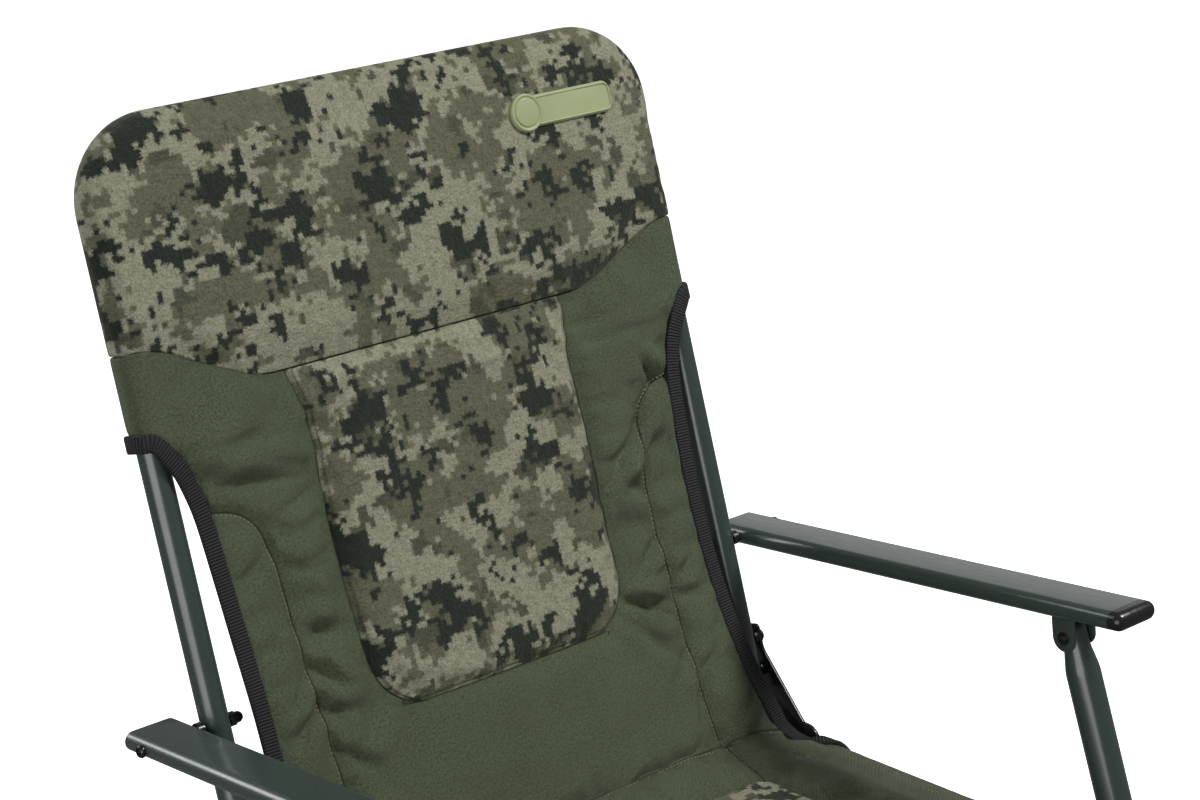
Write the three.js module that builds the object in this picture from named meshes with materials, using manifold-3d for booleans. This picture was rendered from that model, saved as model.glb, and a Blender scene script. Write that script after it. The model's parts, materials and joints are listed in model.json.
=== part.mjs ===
// Carp fishing chair: a folding steel frame with flat armrests, a quilted seat and back cover,
// two swinging front legs, a folding rear leg frame and four telescopic legs with swivel feet.
// Millimetres, +Z up. The sitter faces -Y and the sitter's left is +X.
// The origin is on the floor, under the middle of the chair's outline.
import * as THREE from 'three';
import { mergeVertices } from 'three/addons/utils/BufferGeometryUtils.js';
import Module from 'manifold-3d';

const wasm = await Module();
wasm.setup();

const degree = Math.PI / 180;
const { smoothstep, lerp } = THREE.MathUtils;

// Clearances
const fitGap = 0.3;             // between two pieces that touch
const pinClearance = 0.4;       // round a pin in its hole, on the radius
const slideClearance = 0.4;     // round an inner leg in its outer leg, on the radius
const seamGap = 0.5;            // between two sewn covers
const overrun = 5;              // how far a cutting shape passes a face

// Side view of the chair
const recline = 16.6 * degree;
const armRise = 7 * degree;
const frontLegLean = 19.6 * degree;
const rearLegLean = 24 * degree;
const armPivotHeight = 512;
const hingeDrop = 178.5;        // armrest pivot to hinge, down along the back
const hingeForward = 38.6;      // back tube's axis to hinge, square to the back
const bracketReach = 352.8;     // armrest pivot to leg pin, along the armrest
const bracketDrop = 25.5;       // armrest's middle line to leg pin
const rearPivotSetback = 43;    // hinge to rear leg pivot, along the seat
const rearPivotDrop = 27;       // seat tube's axis to rear leg pivot

// Frame tubes
const frameTubeDiameter = 22;
const frameTubeWall = 1.5;
const frameHalfWidth = 253.6;   // chair's middle to a side tube's axis
const frameBendRadius = 55;
const backTopReach = 436.5;     // armrest pivot to the top tube's axis
const backTubeDrop = 135;       // armrest pivot to a side tube's lower end
const seatFrontReach = 75;      // front leg pivot to the front tube's axis
const seatRearReach = 62;       // hinge to a seat tube's rear end
const rearLugThickness = 3;
const rearLugRadius = 13;

// Hinge plates between back and seat
const plateThickness = 3;
const plateStandoff = 4.2;      // tube to plate
const plateEndRadius = 15;
const plateMargin = 11;
const plateBoltDrops = [88, 116];
const plateNeck = 15;           // plate's rear edge above the hinge, along the back

// Bolts and rivets
const boltDiameter = 6;
const boltHeadDiameter = 12;
const boltHeadHeight = 3.5;
const shoulderDiameter = 12;
const rivetHeadDiameter = 10.5;
const rivetHeadHeight = 2.8;
const nutDiameter = 11;
const nutHeight = 6;
const nutDomeHeight = 6;
const nutDomeDiameter = 9;

// Armrests
const armrestWidth = 45.3;
const armrestThickness = 15;
const armrestWall = 1.8;
const armrestSpacer = 6.1;      // back tube to armrest
const armrestFront = 404.8;     // pivot to profile's front end
const armrestRear = 24.7;       // pivot to profile's rear end
const capNose = 12;
const capPlug = 16;
const capTip = 0.6;             // half height left at the nose of the cap

// Leg bracket under each armrest
const bracketLength = 22;
const bracketWidth = 25;
const bracketSheet = 2;

// Legs
const legDiameter = 27;
const legNeckDiameter = 20.4;
const legNeckLength = 9;        // below the pin
const legTaperLength = 19;
const legCrown = 10;            // top of the leg above its pin
const legSolidTop = 34;         // closed part of a leg tube, below its pin
const innerLegDiameter = 22;
const innerLegWall = 1.5;
const innerLegShown = 80;       // inner leg between outer leg and foot pin
const innerLegHeadroom = 75.3;  // a rear leg's closed part to its inner leg's top
const innerLegEnd = 6;          // inner leg below the foot pin
const innerLegPlug = 24;        // solid plug above the foot pin
const lugThickness = 5;
const lugBite = 1.1;            // how deep a lug is let into the leg tube
const lugRadius = 12;
const lugRoot = 27;             // half length of the lug's weld on the leg
const lugRootDepth = 2;
const crossbarDiameter = 19;
const crossbarWall = 1.5;
const crossbarRise = 99.3;      // a rear leg's lower end to the crossbar

// Leg clamps
const collarDiameter = 35;
const collarLength = 32;
const collarLip = 4;
const clampBossDiameter = 15;
const clampBossReach = 21.5;    // leg axis to the boss's face
const clampHeight = 13;         // leg's lower end to the knob's axis
const knobDiameter = 30;
const knobLobeDepth = 2.2;
const knobHeight = 11;
const knobLobes = 5;

// Feet
const footDiameter = 54;
const footThickness = 7;
const footEdge = 2.5;
const footPinHeight = 22;
const footEarThickness = 4;
const footEarWidth = 16;

// Soft covers
const sleeveThickness = 3.7;    // cloth and padding over a frame tube
const padHalfThickness = 10;
const padForward = 3;           // back pad's middle plane in front of the tubes
const backPadFoot = 162;        // armrest pivot to the pad's lower edge
const backWaistInset = 35.6;    // side tube's axis to the back pad's edge at the waist
const backFootInset = 26.6;     // side tube's axis to the back pad's edge at its foot
const sleeveEnd = 217;          // armrest pivot to the lower end of the back sleeve
const sleeveTaper = 24;
const headSeamMiddle = 241;
const headSeamEdge = 281;
const headSeamSetback = 105.6;  // side tube's axis to where the head seam starts to rise
const headCrown = 5;
const backCrown = 7;
const seatCrown = 8;
const channelDepth = 3.5;
const seamPinch = 3;
const seatPadRear = 25;         // hinge to the seat pad's rear edge
const seatRearInset = 18.6;     // side tube's axis to the seat pad's edge behind the hinge
const seatSleeveStart = 18;     // hinge to the seat sleeve's rear end
const seatSleeveTaper = 8;
const eyeletDiameter = 18;
const bindingWidth = 9;
const bindingThickness = 4;
const badgeLength = 100;
const badgeHeight = 26;
const badgeThickness = 2.4;
const badgeInset = 82.6;        // side tube's axis to the badge's middle
const badgeDrop = 46.5;         // top tube's axis to the badge's middle
const badgeBossDiameter = 31;

// Shares of the sizes that they follow
const headStraightShare = 0.4;  // of the head section's height, below its round corners
const seatStraightShare = 0.72; // of the seat pad's depth, behind its round corners
const seamLiftShare = 0.9;      // of the back pad's length, where its top edge starts to rise
const pinchShare = 0.88;        // of the back pad's length, where the head seam draws it in
const domeShare = 0.8;          // of a domed head's radius and height, at its shoulder
const bevelHeadShare = 0.85;    // of a bolt head's radius, at the armrest's edge
const rivetRimShare = 0.7;      // of a rivet head's radius, at its shoulder
const rivetDomeShare = 0.75;    // of a rivet head's height, at its shoulder
const neckEdgeShare = 0.4;      // of the neck's radius, down to the crown's edge
const neckTopShare = 0.67;      // of the neck's radius, across the crown's flat top
const rearCrownShares = [[1, 0.4], [0.75, 0.85], [0, 1]];
const bindingShares = [0.87, 0.82, 0.77, 0.6, 0.45, 0.3, 0.15, 0.02];

// Steepness of the soft shapes
const rimPower = 4;             // how late a seam's pinch fades towards the side edges
const seatRunPower = 1.5;       // how much closer the seat's rows lie at the rear

// Counts
const arcSteps = 6;
const edgeSteps = 4;
const noseSteps = 4;
const lobeSteps = 6;
const padLayers = 3;
const headRows = 12;
const padRows = 16;
const tubeSides = 14;
const boreSides = 10;
const bindingSteps = 26;
const bendSteps = 6;
const pinSides = 10;
const legSides = 18;

// Radii that several pieces share
const tubeRadius = frameTubeDiameter / 2;
const pinRadius = boltDiameter / 2;
const holeRadius = pinRadius + pinClearance;
const legRadius = legDiameter / 2;
const innerLegRadius = innerLegDiameter / 2;
const legBoreRadius = innerLegRadius + slideClearance;
const sleeveRadius = tubeRadius + sleeveThickness;

// Places across the chair
const tubeFace = frameHalfWidth + tubeRadius;
const tubeInnerFace = frameHalfWidth - tubeRadius;
const plateFace = tubeFace + plateStandoff + fitGap;
const armrestInnerFace = tubeFace + armrestSpacer;
const armrestMiddle = armrestInnerFace + armrestWidth / 2;
const rearLegMiddle = tubeInnerFace - fitGap - legRadius;
const lugFace = armrestMiddle - legRadius + lugBite - lugThickness;
const backWaistHalfWidth = frameHalfWidth - backWaistInset;
const backFootHalfWidth = frameHalfWidth - backFootInset;
const seatRearHalfWidth = frameHalfWidth - seatRearInset;
const headSeamBend = frameHalfWidth - headSeamSetback;
const badgeSetting = frameHalfWidth - badgeInset;

// Places in the side view
const backUp = new THREE.Vector3(0, Math.sin(recline), Math.cos(recline));
const backFront = new THREE.Vector3(0, -Math.cos(recline), Math.sin(recline));
const armFront = new THREE.Vector3(0, -Math.cos(armRise), Math.sin(armRise));
const armUp = new THREE.Vector3(0, Math.sin(armRise), Math.cos(armRise));
const armPivot = new THREE.Vector3(0, 0, armPivotHeight);
const hinge = armPivot.clone()
  .addScaledVector(backUp, -hingeDrop)
  .addScaledVector(backFront, hingeForward);
const legPin = armPivot.clone()
  .addScaledVector(armFront, bracketReach)
  .addScaledVector(armUp, -bracketDrop);
const legPivot = legPin.clone().add(hinge).sub(armPivot);
const seatRise = Math.atan2(legPivot.z - hinge.z, hinge.y - legPivot.y);
const seatSpan = legPivot.distanceTo(hinge);
const seatBack = new THREE.Vector3(0, Math.cos(seatRise), -Math.sin(seatRise));
const seatUp = new THREE.Vector3(0, Math.sin(seatRise), Math.cos(seatRise));
const rearPivot = hinge.clone()
  .addScaledVector(seatBack, rearPivotSetback)
  .addScaledVector(seatUp, -rearPivotDrop);
const frontLegLength = (legPin.z - footPinHeight) / Math.cos(frontLegLean);
const rearLegLength = (rearPivot.z - footPinHeight) / Math.cos(rearLegLean);
const innerLegHidden = rearLegLength - innerLegShown - legSolidTop - innerLegHeadroom;
const crossbarDrop = rearLegLength - innerLegShown - crossbarRise;
const badgeLevel = backTopReach - badgeDrop;

// Materials
function finish(color, roughness, metalness = 0) {
  return new THREE.MeshStandardMaterial({ color, roughness, metalness });
}

const paint = () => finish(0x3c4a42, 0.45, 0.3);
const blackSteel = () => finish(0x141517, 0.4, 0.6);
const blackPlastic = () => finish(0x17181a, 0.5);
const polyester = () => finish(0x39452f, 0.85);
const fleece = () => finish(0x62634c, 0.95);
const webbing = () => finish(0x1b1c1b, 0.8);
const badgeRubber = () => finish(0x8f9b62, 0.55);

// A closed surface as a solid, and back as a named mesh
function toSolid(geometry) {
  const bare = new THREE.BufferGeometry();
  bare.setAttribute('position', geometry.attributes.position);
  bare.setIndex(geometry.index);
  const merged = mergeVertices(bare);
  const corners = merged.index.array;
  const triVerts = [];
  for (let i = 0; i < corners.length; i += 3) {
    const [a, b, c] = corners.subarray(i, i + 3);
    if (a !== b && b !== c && c !== a) triVerts.push(a, b, c);
  }
  return new wasm.Manifold(new wasm.Mesh({
    numProp: 3,
    vertProperties: merged.attributes.position.array,
    triVerts: new Uint32Array(triVerts),
  }));
}

function toMesh(name, solid, material) {
  const { vertProperties, triVerts } = solid.getMesh();
  const geometry = new THREE.BufferGeometry();
  geometry.setAttribute('position', new THREE.BufferAttribute(vertProperties, 3));
  geometry.setIndex(new THREE.BufferAttribute(triVerts, 1));
  geometry.computeVertexNormals();
  const mesh = new THREE.Mesh(geometry, material);
  mesh.name = name;
  return mesh;
}

// A group at a point of the side view, turned about X
function turnedGroup(origin, angle) {
  const group = new THREE.Group();
  group.position.copy(origin);
  group.rotation.x = angle;
  return group;
}

// A point of the side view as seen from a turned group
function seenFrom(origin, angle, point) {
  return point.clone().sub(origin).applyAxisAngle(new THREE.Vector3(1, 0, 0), -angle);
}

// Flat outlines
function ringPoints(radius, sides) {
  return Array.from({ length: sides }, (_, i) => {
    const turn = (i + 0.5) / sides * 2 * Math.PI;
    return new THREE.Vector2(radius * Math.cos(turn), radius * Math.sin(turn));
  });
}

function tubeOutline(radius, wall) {
  const outline = new THREE.Shape(ringPoints(radius, tubeSides));
  outline.holes.push(new THREE.Path(ringPoints(radius - wall, boreSides)));
  return outline;
}

// A slot shape across X with round ends
function stadium(width, thickness) {
  const radius = thickness / 2;
  const reach = width / 2 - radius;
  const outline = new THREE.Shape();
  outline.moveTo(-reach, -radius);
  outline.lineTo(reach, -radius);
  outline.absarc(reach, 0, radius, -Math.PI / 2, Math.PI / 2, false);
  outline.lineTo(-reach, radius);
  outline.absarc(-reach, 0, radius, Math.PI / 2, Math.PI * 1.5, false);
  return outline;
}

// An outline of the side view, drawn as y and z, given a thickness along X
function sidePlate(outline, thickness, x) {
  const plate = new THREE.ExtrudeGeometry(outline, {
    depth: thickness, bevelEnabled: false, curveSegments: arcSteps,
  });
  const toSideView = new THREE.Matrix4().makeBasis(
    new THREE.Vector3(0, 1, 0), new THREE.Vector3(0, 0, 1), new THREE.Vector3(1, 0, 0));
  return toSolid(plate.applyMatrix4(toSideView).translate(x, 0, 0));
}

// An outline of the front view, drawn as x and z, drawn out from y towards the front
function frontBar(outline, options, y) {
  const bar = new THREE.ExtrudeGeometry(outline, { curveSegments: edgeSteps, ...options });
  const toFrontView = new THREE.Matrix4().makeBasis(
    new THREE.Vector3(1, 0, 0), new THREE.Vector3(0, 0, 1), new THREE.Vector3(0, -1, 0));
  return toSolid(bar.applyMatrix4(toFrontView).translate(0, y, 0));
}

// Turned pieces: profiles run counter-clockwise as radius and height
function turned(profile, sides) {
  const points = profile.map(([radius, height]) => new THREE.Vector2(radius, height));
  return new THREE.LatheGeometry(points, sides);
}

function turnedUpright(profile, sides) {
  return toSolid(turned(profile, sides).rotateX(Math.PI / 2));
}

// Height of the profile becomes distance outwards from the chair's middle plane
function turnedAcross(profile, side, y = 0, z = 0) {
  return toSolid(turned(profile, pinSides).rotateZ(-side * Math.PI / 2).translate(0, y, z));
}

function pinHole(radius, from, to, side, y = 0, z = 0) {
  return turnedAcross([[0, from], [radius, from], [radius, to], [0, to]], side, y, z);
}

// A tube's middle line: straight runs with a ring at each end, round bends at the corners
class BentLine extends THREE.Curve {
  constructor(corners, radius) {
    super();
    this.stations = [corners[0]];
    for (let i = 1; i < corners.length - 1; i += 1) {
      this.stations.push(...BentLine.bend(corners[i - 1], corners[i], corners[i + 1], radius));
    }
    this.stations.push(corners.at(-1));
  }

  static bend(before, corner, after, radius) {
    const back = before.clone().sub(corner).normalize();
    const ahead = after.clone().sub(corner).normalize();
    const half = back.angleTo(ahead) / 2;
    const centre = back.clone().add(ahead).setLength(radius / Math.sin(half)).add(corner);
    const first = back.setLength(radius / Math.tan(half)).add(corner).sub(centre);
    const last = ahead.setLength(radius / Math.tan(half)).add(corner).sub(centre);
    const turn = first.angleTo(last);
    return Array.from({ length: bendSteps + 1 }, (_, i) => {
      const share = i / bendSteps;
      return centre.clone()
        .addScaledVector(first, Math.sin((1 - share) * turn) / Math.sin(turn))
        .addScaledVector(last, Math.sin(share * turn) / Math.sin(turn));
    });
  }

  getPoint(t, target = new THREE.Vector3()) {
    const place = t * (this.stations.length - 1);
    const index = Math.min(Math.floor(place), this.stations.length - 2);
    return target.lerpVectors(this.stations[index], this.stations[index + 1], place - index);
  }

  getUtoTmapping(u) {
    return u;
  }
}

function tubeAlong(line, outline) {
  const steps = line.stations.length - 1;
  return toSolid(new THREE.ExtrudeGeometry(outline, {
    steps, extrudePath: line, bevelEnabled: false,
  }));
}

// Soft bodies: a box of cells, each corner moved to its place by the shape's own rule
function softSolid(cells, place) {
  const box = new THREE.BoxGeometry(2, 2, 2, ...cells);
  const corners = box.attributes.position;
  for (let i = 0; i < corners.count; i += 1) {
    const point = place(corners.getX(i), corners.getY(i), corners.getZ(i));
    corners.setXYZ(i, point.x, point.y, point.z);
  }
  return toSolid(box);
}

// How open a cushion is at a share of its half width and a share of its length
function openness(acrossShare, alongShare) {
  return (1 - acrossShare ** 2) * Math.sin(Math.PI * alongShare);
}

// Where a column of cells stands, as a share of the half width; channels lie on two of them
const columnShares = [0, 0.24, 0.46, 0.57, 0.66, 0.74, 0.81, 0.9, 1];
const channelShares = [0.57, 0.81];
const columnCount = 2 * (columnShares.length - 1);

function columnShare(u) {
  const index = Math.round(Math.abs(u) * (columnShares.length - 1));
  return Math.sign(u) * columnShares[index];
}

// A smooth width from a table of [place share, width share]
function widthFrom(table, share) {
  const next = Math.max(1, table.findIndex(([place]) => place >= share));
  const [fromPlace, fromWidth] = table[next - 1];
  const [toPlace, toWidth] = table[next];
  return lerp(fromWidth, toWidth, smoothstep(share, fromPlace, toPlace));
}

// How far the seam between head section and back pad stands above the armrest pivot
function headSeam(x) {
  const edge = frameHalfWidth + sleeveRadius;
  const share = smoothstep(Math.abs(x), headSeamBend, edge);
  return lerp(headSeamMiddle, headSeamEdge, share);
}

// Back frame: one tube bent into an arch, drilled for armrest and hinge plate bolts
const backLine = new BentLine([
  new THREE.Vector3(-frameHalfWidth, 0, -backTubeDrop),
  new THREE.Vector3(-frameHalfWidth, 0, backTopReach),
  new THREE.Vector3(frameHalfWidth, 0, backTopReach),
  new THREE.Vector3(frameHalfWidth, 0, -backTubeDrop),
], frameBendRadius);

function backTube() {
  let tube = tubeAlong(backLine, tubeOutline(tubeRadius, frameTubeWall));
  for (const side of [-1, 1]) {
    for (const drop of [0, ...plateBoltDrops]) {
      const from = tubeInnerFace - overrun;
      tube = tube.subtract(pinHole(holeRadius, from, tubeFace + overrun, side, 0, -drop));
    }
  }
  return tube;
}

// How far a cushion's rim is drawn in at a turn from its middle plane; the flank between is flat
function rimInset(edge, turn) {
  return edge * (1 - Math.cos(turn) / Math.cos(Math.PI / 6));
}

function tubeSpace(line) {
  return tubeAlong(line, new THREE.Shape(ringPoints(tubeRadius + fitGap, tubeSides)));
}

// Head section: a padded sleeve over the arch, with rounded corners and a soft crown
function headCover() {
  const halfWidth = frameHalfWidth + sleeveRadius;
  const top = backTopReach + sleeveRadius;
  const corner = frameBendRadius + sleeveRadius;
  const body = softSolid([columnCount, padLayers, headRows], (u, w, v) => {
    const turn = w * Math.PI / 2;
    const inset = rimInset(sleeveRadius, turn);
    const radius = corner - inset;
    const rise = (v + 1) / 2;
    const bendShare = (rise - headStraightShare) / (1 - headStraightShare);
    const bend = Math.max(0, bendShare) * Math.PI / 2;
    const reach = halfWidth - inset - radius * (1 - Math.cos(bend));
    const share = columnShare(u);
    const x = share * reach;
    const seam = headSeam(share * halfWidth) + seamGap / 2;
    const shoulder = top - inset - radius;
    const straight = lerp(seam, shoulder, Math.min(rise / headStraightShare, 1));
    const z = straight + radius * Math.sin(bend);
    const pinch = seamPinch * (1 - smoothstep(z - seam, 0, corner)) * (1 - share ** rimPower);
    const half = sleeveRadius + (w < 0 ? headCrown * openness(share, rise) - pinch : 0);
    return new THREE.Vector3(x, half * Math.sin(turn), z);
  });
  return body.subtract(tubeSpace(backLine));
}

// Half width of the back pad along its length, as shares of length and of waist
const waistShares = [
  [0, backFootHalfWidth / backWaistHalfWidth],
  [0.17, 1.03],
  [0.34, 1],
  [0.76, 1],
  [0.88, 1.06],
];

function backHalfWidth(z) {
  const length = sleeveEnd + backPadFoot;
  const share = (z + backPadFoot) / length;
  const sleeve = frameHalfWidth + sleeveRadius;
  const waist = backWaistHalfWidth * widthFrom(waistShares, Math.min(share, waistShares.at(-1)[0]));
  return lerp(waist, sleeve, smoothstep(z, sleeveEnd - sleeveTaper, sleeveEnd));
}

// Back pad: waisted between the tubes, with four sewn channels and a sleeve at its shoulders
function backPad() {
  const body = softSolid([columnCount, padLayers, padRows], (u, w, v) => {
    const share = columnShare(u);
    const turn = w * Math.PI / 2;
    const rise = (v + 1) / 2;
    const level = lerp(-backPadFoot, headSeamMiddle, rise);
    const sleeved = smoothstep(level, sleeveEnd - sleeveTaper, sleeveEnd);
    const edge = lerp(padHalfThickness, sleeveRadius, sleeved);
    const x = share * (backHalfWidth(level) - rimInset(edge, turn));
    const seam = headSeam(share * (frameHalfWidth + sleeveRadius));
    const lift = seam - headSeamMiddle - seamGap / 2;
    const z = level + lift * smoothstep(rise, seamLiftShare, 1);
    const forward = padForward * (1 - sleeved);
    const sewn = channelShares.includes(Math.abs(share)) ? channelDepth * (1 - sleeved) : 0;
    const pinch = seamPinch * smoothstep(rise, pinchShare, 1) * (1 - share ** rimPower);
    const crown = backCrown * openness(share, rise) - sewn * Math.sin(Math.PI * rise) - pinch;
    const half = edge + (w < 0 ? crown : 0);
    return new THREE.Vector3(x, half * Math.sin(turn) - forward, z);
  });
  return body.subtract(tubeSpace(backLine));
}

// Black binding along the waist of the back pad, from the sleeve's end to the pad's foot
function binding(side, pad) {
  const overTube = sleeveRadius + bindingThickness / 2 - sleeveThickness + fitGap;
  const lie = (z, forward, out) => {
    const x = out ?? backHalfWidth(z) + bindingWidth / 2 + fitGap;
    return new THREE.Vector3(side * x, -forward, z);
  };
  const length = sleeveEnd + backPadFoot;
  const top = sleeveEnd - sleeveTaper - bindingWidth / 2 - seamGap;
  const line = new THREE.CatmullRomCurve3([
    lie(top, overTube, frameHalfWidth + tubeRadius / 2),
    lie(top, overTube, frameHalfWidth - tubeRadius / 2),
    ...bindingShares.map((share) => lie(share * length - backPadFoot, padForward)),
  ]);
  const half = new THREE.Vector2(bindingThickness / 2, bindingWidth / 2);
  const section = new THREE.Shape([
    new THREE.Vector2(-half.x, -half.y), new THREE.Vector2(half.x, -half.y),
    new THREE.Vector2(half.x, half.y), new THREE.Vector2(-half.x, half.y),
  ]);
  const strip = new THREE.ExtrudeGeometry(section, {
    steps: bindingSteps, extrudePath: line, bevelEnabled: false,
  });
  return toSolid(strip)
    .subtract(tubeSpace(backLine))
    .subtract(pad)
    .subtract(pad.translate([side * fitGap, -fitGap, 0]));
}

// Blank badge that follows the head section's front
function badge(cover) {
  const plate = new THREE.Shape();
  const [reach, half] = [badgeLength / 2, badgeHeight / 2];
  const round = half / 2;
  plate.moveTo(round - reach, -half);
  plate.lineTo(reach - round, -half);
  plate.absarc(reach - round, round - half, round, -Math.PI / 2, 0, false);
  plate.lineTo(reach, half - round);
  plate.absarc(reach - round, half - round, round, 0, Math.PI / 2, false);
  plate.lineTo(round - reach, half);
  plate.absarc(round - reach, half - round, round, Math.PI / 2, Math.PI, false);
  plate.lineTo(-reach, round - half);
  plate.absarc(round - reach, round - half, round, Math.PI, Math.PI * 1.5, false);
  const boss = new THREE.Shape(ringPoints(badgeBossDiameter / 2, legSides));
  const depth = sleeveRadius + headCrown + overrun;
  const options = { depth, bevelEnabled: false };
  const outline = frontBar(plate, options, 0)
    .add(frontBar(boss, options, 0).translate([round - reach, 0, 0]))
    .translate([badgeSetting, 0, badgeLevel]);
  return outline
    .intersect(cover.translate([0, -badgeThickness - fitGap, 0]))
    .subtract(cover.translate([0, -fitGap, 0]));
}

// Hinge plate: a bar from the back tube down to a wide round end at the hinge
function hingePlate(side) {
  const eye = new THREE.Vector2(-hingeForward, -hingeDrop);
  const [upper, lower] = plateBoltDrops;
  const plate = new THREE.Shape();
  plate.moveTo(plateMargin, -upper + plateMargin);
  plate.lineTo(-plateMargin / 2, -upper + plateMargin);
  plate.lineTo(-plateMargin / 2, -upper - plateMargin);
  plate.lineTo(eye.x, eye.y + plateEndRadius);
  plate.absarc(eye.x, eye.y, plateEndRadius, Math.PI / 2, Math.PI * 1.75, false);
  plate.lineTo(plateMargin, -lower - plateNeck);
  const inner = side > 0 ? plateFace : -plateFace - plateThickness;
  let solid = sidePlate(plate, plateThickness, inner);
  const holes = [[0, -upper], [0, -lower], [eye.x, eye.y]];
  for (const [y, z] of holes) {
    const to = plateFace + plateThickness + overrun;
    solid = solid.subtract(pinHole(holeRadius, plateFace - overrun, to, side, y, z));
  }
  return solid;
}

// Bolt with a round head inside the tube's face, a shoulder under the outer piece and an outer head
function shoulderBolt(side, outerFace, outerThickness, y, z) {
  const inner = tubeInnerFace - fitGap;
  const shoulder = shoulderDiameter / 2;
  const head = boltHeadDiameter / 2;
  const outer = outerFace + outerThickness + fitGap;
  return turnedAcross([
    [0, inner - boltHeadHeight],
    [head, inner - boltHeadHeight],
    [head, inner],
    [pinRadius, inner],
    [pinRadius, tubeFace + fitGap],
    [shoulder, tubeFace + fitGap],
    [shoulder, outerFace - fitGap],
    [pinRadius, outerFace - fitGap],
    [pinRadius, outer],
    [head, outer],
    [head * domeShare, outer + boltHeadHeight * domeShare],
    [0, outer + boltHeadHeight],
  ], side, y, z);
}

// Back, in its own frame: origin on the armrest pivot, z along the back, -y to the front
function buildBack() {
  const back = turnedGroup(armPivot, -recline);
  back.add(toMesh('back_frame_tube', backTube(), paint()));
  const cover = headCover();
  back.add(toMesh('head_cover', cover, fleece()));
  const pad = backPad();
  back.add(toMesh('back_pad', pad, polyester()));
  back.add(toMesh('blank_badge', badge(cover), badgeRubber()));
  for (const [side, hand] of [[1, 'left'], [-1, 'right']]) {
    back.add(toMesh(`back_binding_${hand}`, binding(side, pad), webbing()));
    back.add(toMesh(`hinge_plate_${hand}`, hingePlate(side), blackSteel()));
    plateBoltDrops.forEach((drop, i) => {
      const bolt = shoulderBolt(side, plateFace, plateThickness, 0, -drop);
      back.add(toMesh(`plate_bolt_${['upper', 'lower'][i]}_${hand}`, bolt, blackSteel()));
    });
  }
  return back;
}

// Seat frame: one tube bent into a U with a lug under each rear end for the rear legs
const seatFrontLine = -seatSpan - seatFrontReach;
const seatLine = new BentLine([
  new THREE.Vector3(-frameHalfWidth, seatRearReach, 0),
  new THREE.Vector3(-frameHalfWidth, seatFrontLine, 0),
  new THREE.Vector3(frameHalfWidth, seatFrontLine, 0),
  new THREE.Vector3(frameHalfWidth, seatRearReach, 0),
], frameBendRadius);

function rearLug(side) {
  const lug = new THREE.Shape();
  lug.moveTo(rearPivotSetback + rearLugRadius, -tubeRadius / 2);
  lug.lineTo(rearPivotSetback - rearLugRadius, -tubeRadius / 2);
  lug.lineTo(rearPivotSetback - rearLugRadius, -rearPivotDrop);
  lug.absarc(rearPivotSetback, -rearPivotDrop, rearLugRadius, Math.PI, Math.PI * 2, false);
  const inner = side > 0 ? tubeInnerFace : -tubeInnerFace - rearLugThickness;
  return sidePlate(lug, rearLugThickness, inner);
}

function seatTube() {
  let tube = tubeAlong(seatLine, tubeOutline(tubeRadius, frameTubeWall));
  const bore = tubeAlong(seatLine, new THREE.Shape(ringPoints(tubeRadius - frameTubeWall, boreSides)));
  for (const side of [-1, 1]) {
    tube = tube.add(rearLug(side).subtract(bore));
    const places = [[0, 0], [-seatSpan, 0], [rearPivotSetback, -rearPivotDrop]];
    for (const [y, z] of places) {
      const from = tubeInnerFace - overrun;
      tube = tube.subtract(pinHole(holeRadius, from, tubeFace + overrun, side, y, z));
    }
  }
  return tube;
}

// Seat pad: narrow between the hinge plates, then sleeved over the side and front tubes
function seatPad() {
  const sleeve = frameHalfWidth + sleeveRadius;
  const front = seatFrontLine - sleeveRadius;
  const corner = frameBendRadius + sleeveRadius;
  const body = softSolid([columnCount, padRows, padLayers], (u, v, w) => {
    const share = columnShare(u);
    const turn = w * Math.PI / 2;
    const ahead = (1 - v) / 2;
    const bendShare = (ahead - seatStraightShare) / (1 - seatStraightShare);
    const bend = Math.max(0, bendShare) * Math.PI / 2;
    const run = Math.min(ahead / seatStraightShare, 1) ** seatRunPower;
    const level = lerp(seatPadRear, front + corner, run);
    const sleeved = smoothstep(-level, seatSleeveStart, seatSleeveStart + seatSleeveTaper);
    const edge = lerp(padHalfThickness, sleeveRadius, sleeved);
    const inset = rimInset(edge, turn);
    const radius = corner - inset;
    const width = lerp(seatRearHalfWidth, sleeve, sleeved) - inset;
    const x = share * (width - radius * (1 - Math.cos(bend)));
    const y = level - radius * Math.sin(bend);
    const sewn = channelShares.includes(Math.abs(share)) ? channelDepth * sleeved : 0;
    const crown = seatCrown * openness(share, ahead) - sewn * Math.sin(Math.PI * ahead);
    const half = edge + (w > 0 ? crown : 0);
    return new THREE.Vector3(x, y, half * Math.sin(turn));
  });
  let pad = body.subtract(tubeSpace(seatLine));
  for (const side of [-1, 1]) {
    const from = tubeInnerFace - boltHeadHeight - overrun;
    pad = pad.subtract(pinHole(eyeletDiameter / 2, from, sleeve + overrun, side, -seatSpan));
  }
  return pad;
}

// Rear leg bolt: a head outside the lug and a dome inside the leg
function rearLegBolt(side) {
  const outer = tubeInnerFace + rearLugThickness + fitGap;
  const inner = rearLegMiddle - legRadius - fitGap;
  const head = boltHeadDiameter / 2;
  return turnedAcross([
    [0, inner - boltHeadHeight],
    [head * domeShare, inner - boltHeadHeight * domeShare],
    [head, inner],
    [pinRadius, inner],
    [pinRadius, outer],
    [head, outer],
    [head * domeShare, outer + boltHeadHeight * domeShare],
    [0, outer + boltHeadHeight],
  ], side, rearPivotSetback, -rearPivotDrop);
}

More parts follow.
